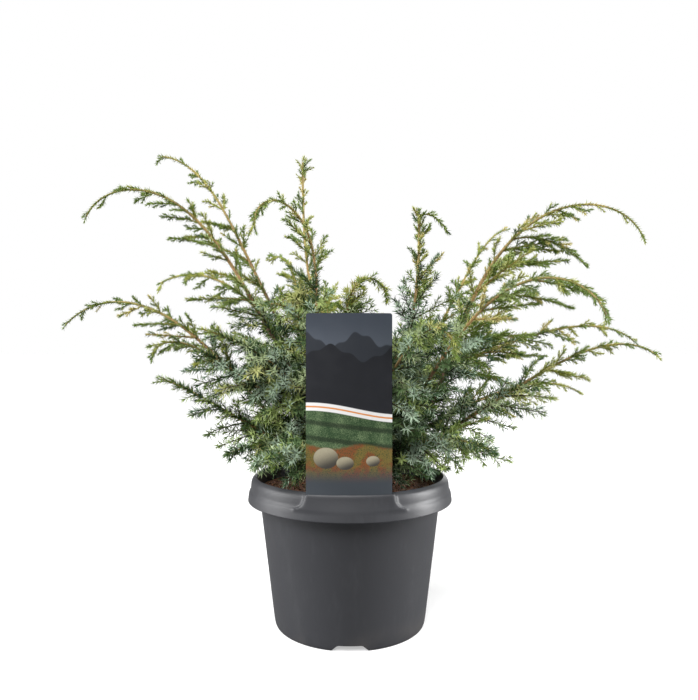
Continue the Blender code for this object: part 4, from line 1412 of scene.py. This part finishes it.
def makeLimbs(masses):
    material = barkMaterial()
    joinLimbs("barkedTrunk", [(trunkInto, ())], ["trunk"], material)
    boughs = [mass for mass in masses if mass["bare"]]
    builders = [(limbInto, (mass, mass["limb"], mass["bare"], bark["sides"])) for mass in boughs]
    joinLimbs("barkedBoughs", builders, ["bough_" + mass["name"] for mass in boughs], material)
    builders = []
    for mass in masses:
        end = 1 - bark["tipFree"] / mass["line"]["length"]
        builders.append((limbInto, (mass, mass["start"], end, bark["stemSides"])))
    joinLimbs("leaders", builders, ["foliage_" + mass["name"] for mass in masses], material)


def addLeaderNeedles(masses):
    # The leaders carry needles too, and many more where the foliage is young and hides the wood
    draw = random.Random(needles["leaderSeed"])
    step, count = needles["leaderStep"], needles["leaderPoints"]
    onYoung, onGrown = needles["leaderSets"]
    for mass in masses:
        line = mass["line"]
        bareFirst, bareLast = upright.get(mass["name"], (1, 1))
        for first in np.arange(max(mass["limb"], twigs["limbFrom"]), needles["leaderTo"], step):
            points = pointAt(line, np.linspace(first, min(first + step, needles["leaderEnd"]), count))
            grown = grownShare(points[count // 2])
            if not keepsClear(points) or bareFirst < first < bareLast:
                continue
            for _ in range(onYoung if grown < 0.5 else onGrown):
                stems.append({"points": points, "radius": limbRadius(line["length"], first), "level": 0,
                              "tint": chooseTint(mass, grown, draw), "grown": grown})


# Stage: a floor and a backdrop that are white to the camera only, soft lights, and a camera at the
# photograph's place
stage = {
    "cameraX": -0.00085,
    "cameraBack": 0.610,
    "cameraHeight": 0.2527,
    "focalPixels": 646.0,
    "framePixels": 700.0,
    "sensor": 36.0,
    "floor": 0.56,
    "floorGlow": 0.46,
    "floorBounce": 0.17,
    "floorSize": 40,
    "world": 0.19,
    "backdrop": 1.0,
    "sun": 3.6,
    "sunSoftness": math.radians(36),
    "sunTurn": (math.radians(42), 0, math.radians(-20)),
    # name, place, aimed at, width, height, watts
    "lamps": [
        ("leftSoftbox", (-1.3, -0.15, 0.38), (0, 0, 0.12), 0.5, 1.1, 26),
        ("rightSoftbox", (1.3, -0.05, 0.36), (0, 0, 0.12), 0.4, 1.0, 31),
        ("backSoftbox", (0.3, 1.6, 0.5), (0, 0, 0.20), 1.2, 0.9, 12),
    ],
}


def toCamera(tree, others, camera):
    # One value for the camera's own rays, and another for all the rest
    seen = addNode(tree, "ShaderNodeLightPath").outputs["Is Camera Ray"]
    return fade(tree, seen, 0.0, 1.0, others, camera)


def makeGround():
    bm = bmesh.new()
    bmesh.ops.create_grid(bm, x_segments=1, y_segments=1, size=stage["floorSize"])
    white = (1, 1, 1, 1)
    material, tree, shader = newMaterial("studio floor", 0.9, Specular_IOR_Level=0.1, Emission_Color=white)
    clouds = mottled(tree, 1.5, 40.0, 0.2)
    tree.links.new(fade(tree, clouds[2], 0.2, 0.8, 0.88, 0.92), shader.inputs["Roughness"])
    tree.links.new(toCamera(tree, stage["floorBounce"], stage["floor"]), shader.inputs["Base Color"])
    tree.links.new(toCamera(tree, 0.0, stage["floorGlow"]), shader.inputs["Emission Strength"])
    finished(bm, "studioFloor", material)
    world = bpy.data.worlds.new("studio")
    world.use_nodes = True
    tree = world.node_tree
    colour, strength = tree.nodes["Background"].inputs[:2]
    colour.default_value = white
    tree.links.new(toCamera(tree, stage["world"], stage["backdrop"]), strength)
    bpy.context.scene.world = world


def makeLights():
    sun = bpy.data.lights.new("keyLight", "SUN")
    sun.energy = stage["sun"]
    sun.angle = stage["sunSoftness"]
    newObject("keyLight", sun).rotation_euler = stage["sunTurn"]
    for name, where, aim, width, height, watts in stage["lamps"]:
        light = bpy.data.lights.new(name, "AREA")
        light.shape = "RECTANGLE"
        light.size = width
        light.size_y = height
        light.energy = watts
        lamp = newObject(name, light)
        lamp.location = where
        lamp.rotation_euler = (Vector(aim) - Vector(where)).to_track_quat("-Z", "Y").to_euler()
        lamp.visible_camera = False


def makeCamera():
    camera = bpy.data.cameras.new("photoCamera")
    camera.sensor_width = stage["sensor"]
    camera.lens = stage["focalPixels"] / stage["framePixels"] * stage["sensor"]
    stand = newObject("photoCamera", camera)
    stand.location = (stage["cameraX"], -stage["cameraBack"], stage["cameraHeight"])
    stand.rotation_euler = (math.pi / 2, 0, 0)
    bpy.context.scene.camera = stand
    bpy.context.scene.view_settings.view_transform = "Standard"


makePot()
print("pot made")
makeLabel()
print("label made")
makeSoil()
print("peat made")
masses = findMasses()
for seed, mass in enumerate(masses):
    growMass(mass, seed)
print("twigs grown:", len(stems))
makeTwigs()
addLeaderNeedles(masses)
makeLimbs(masses)
print("limbs made")
makeNeedles()
makeGround()
makeLights()
makeCamera()
print("stage set")
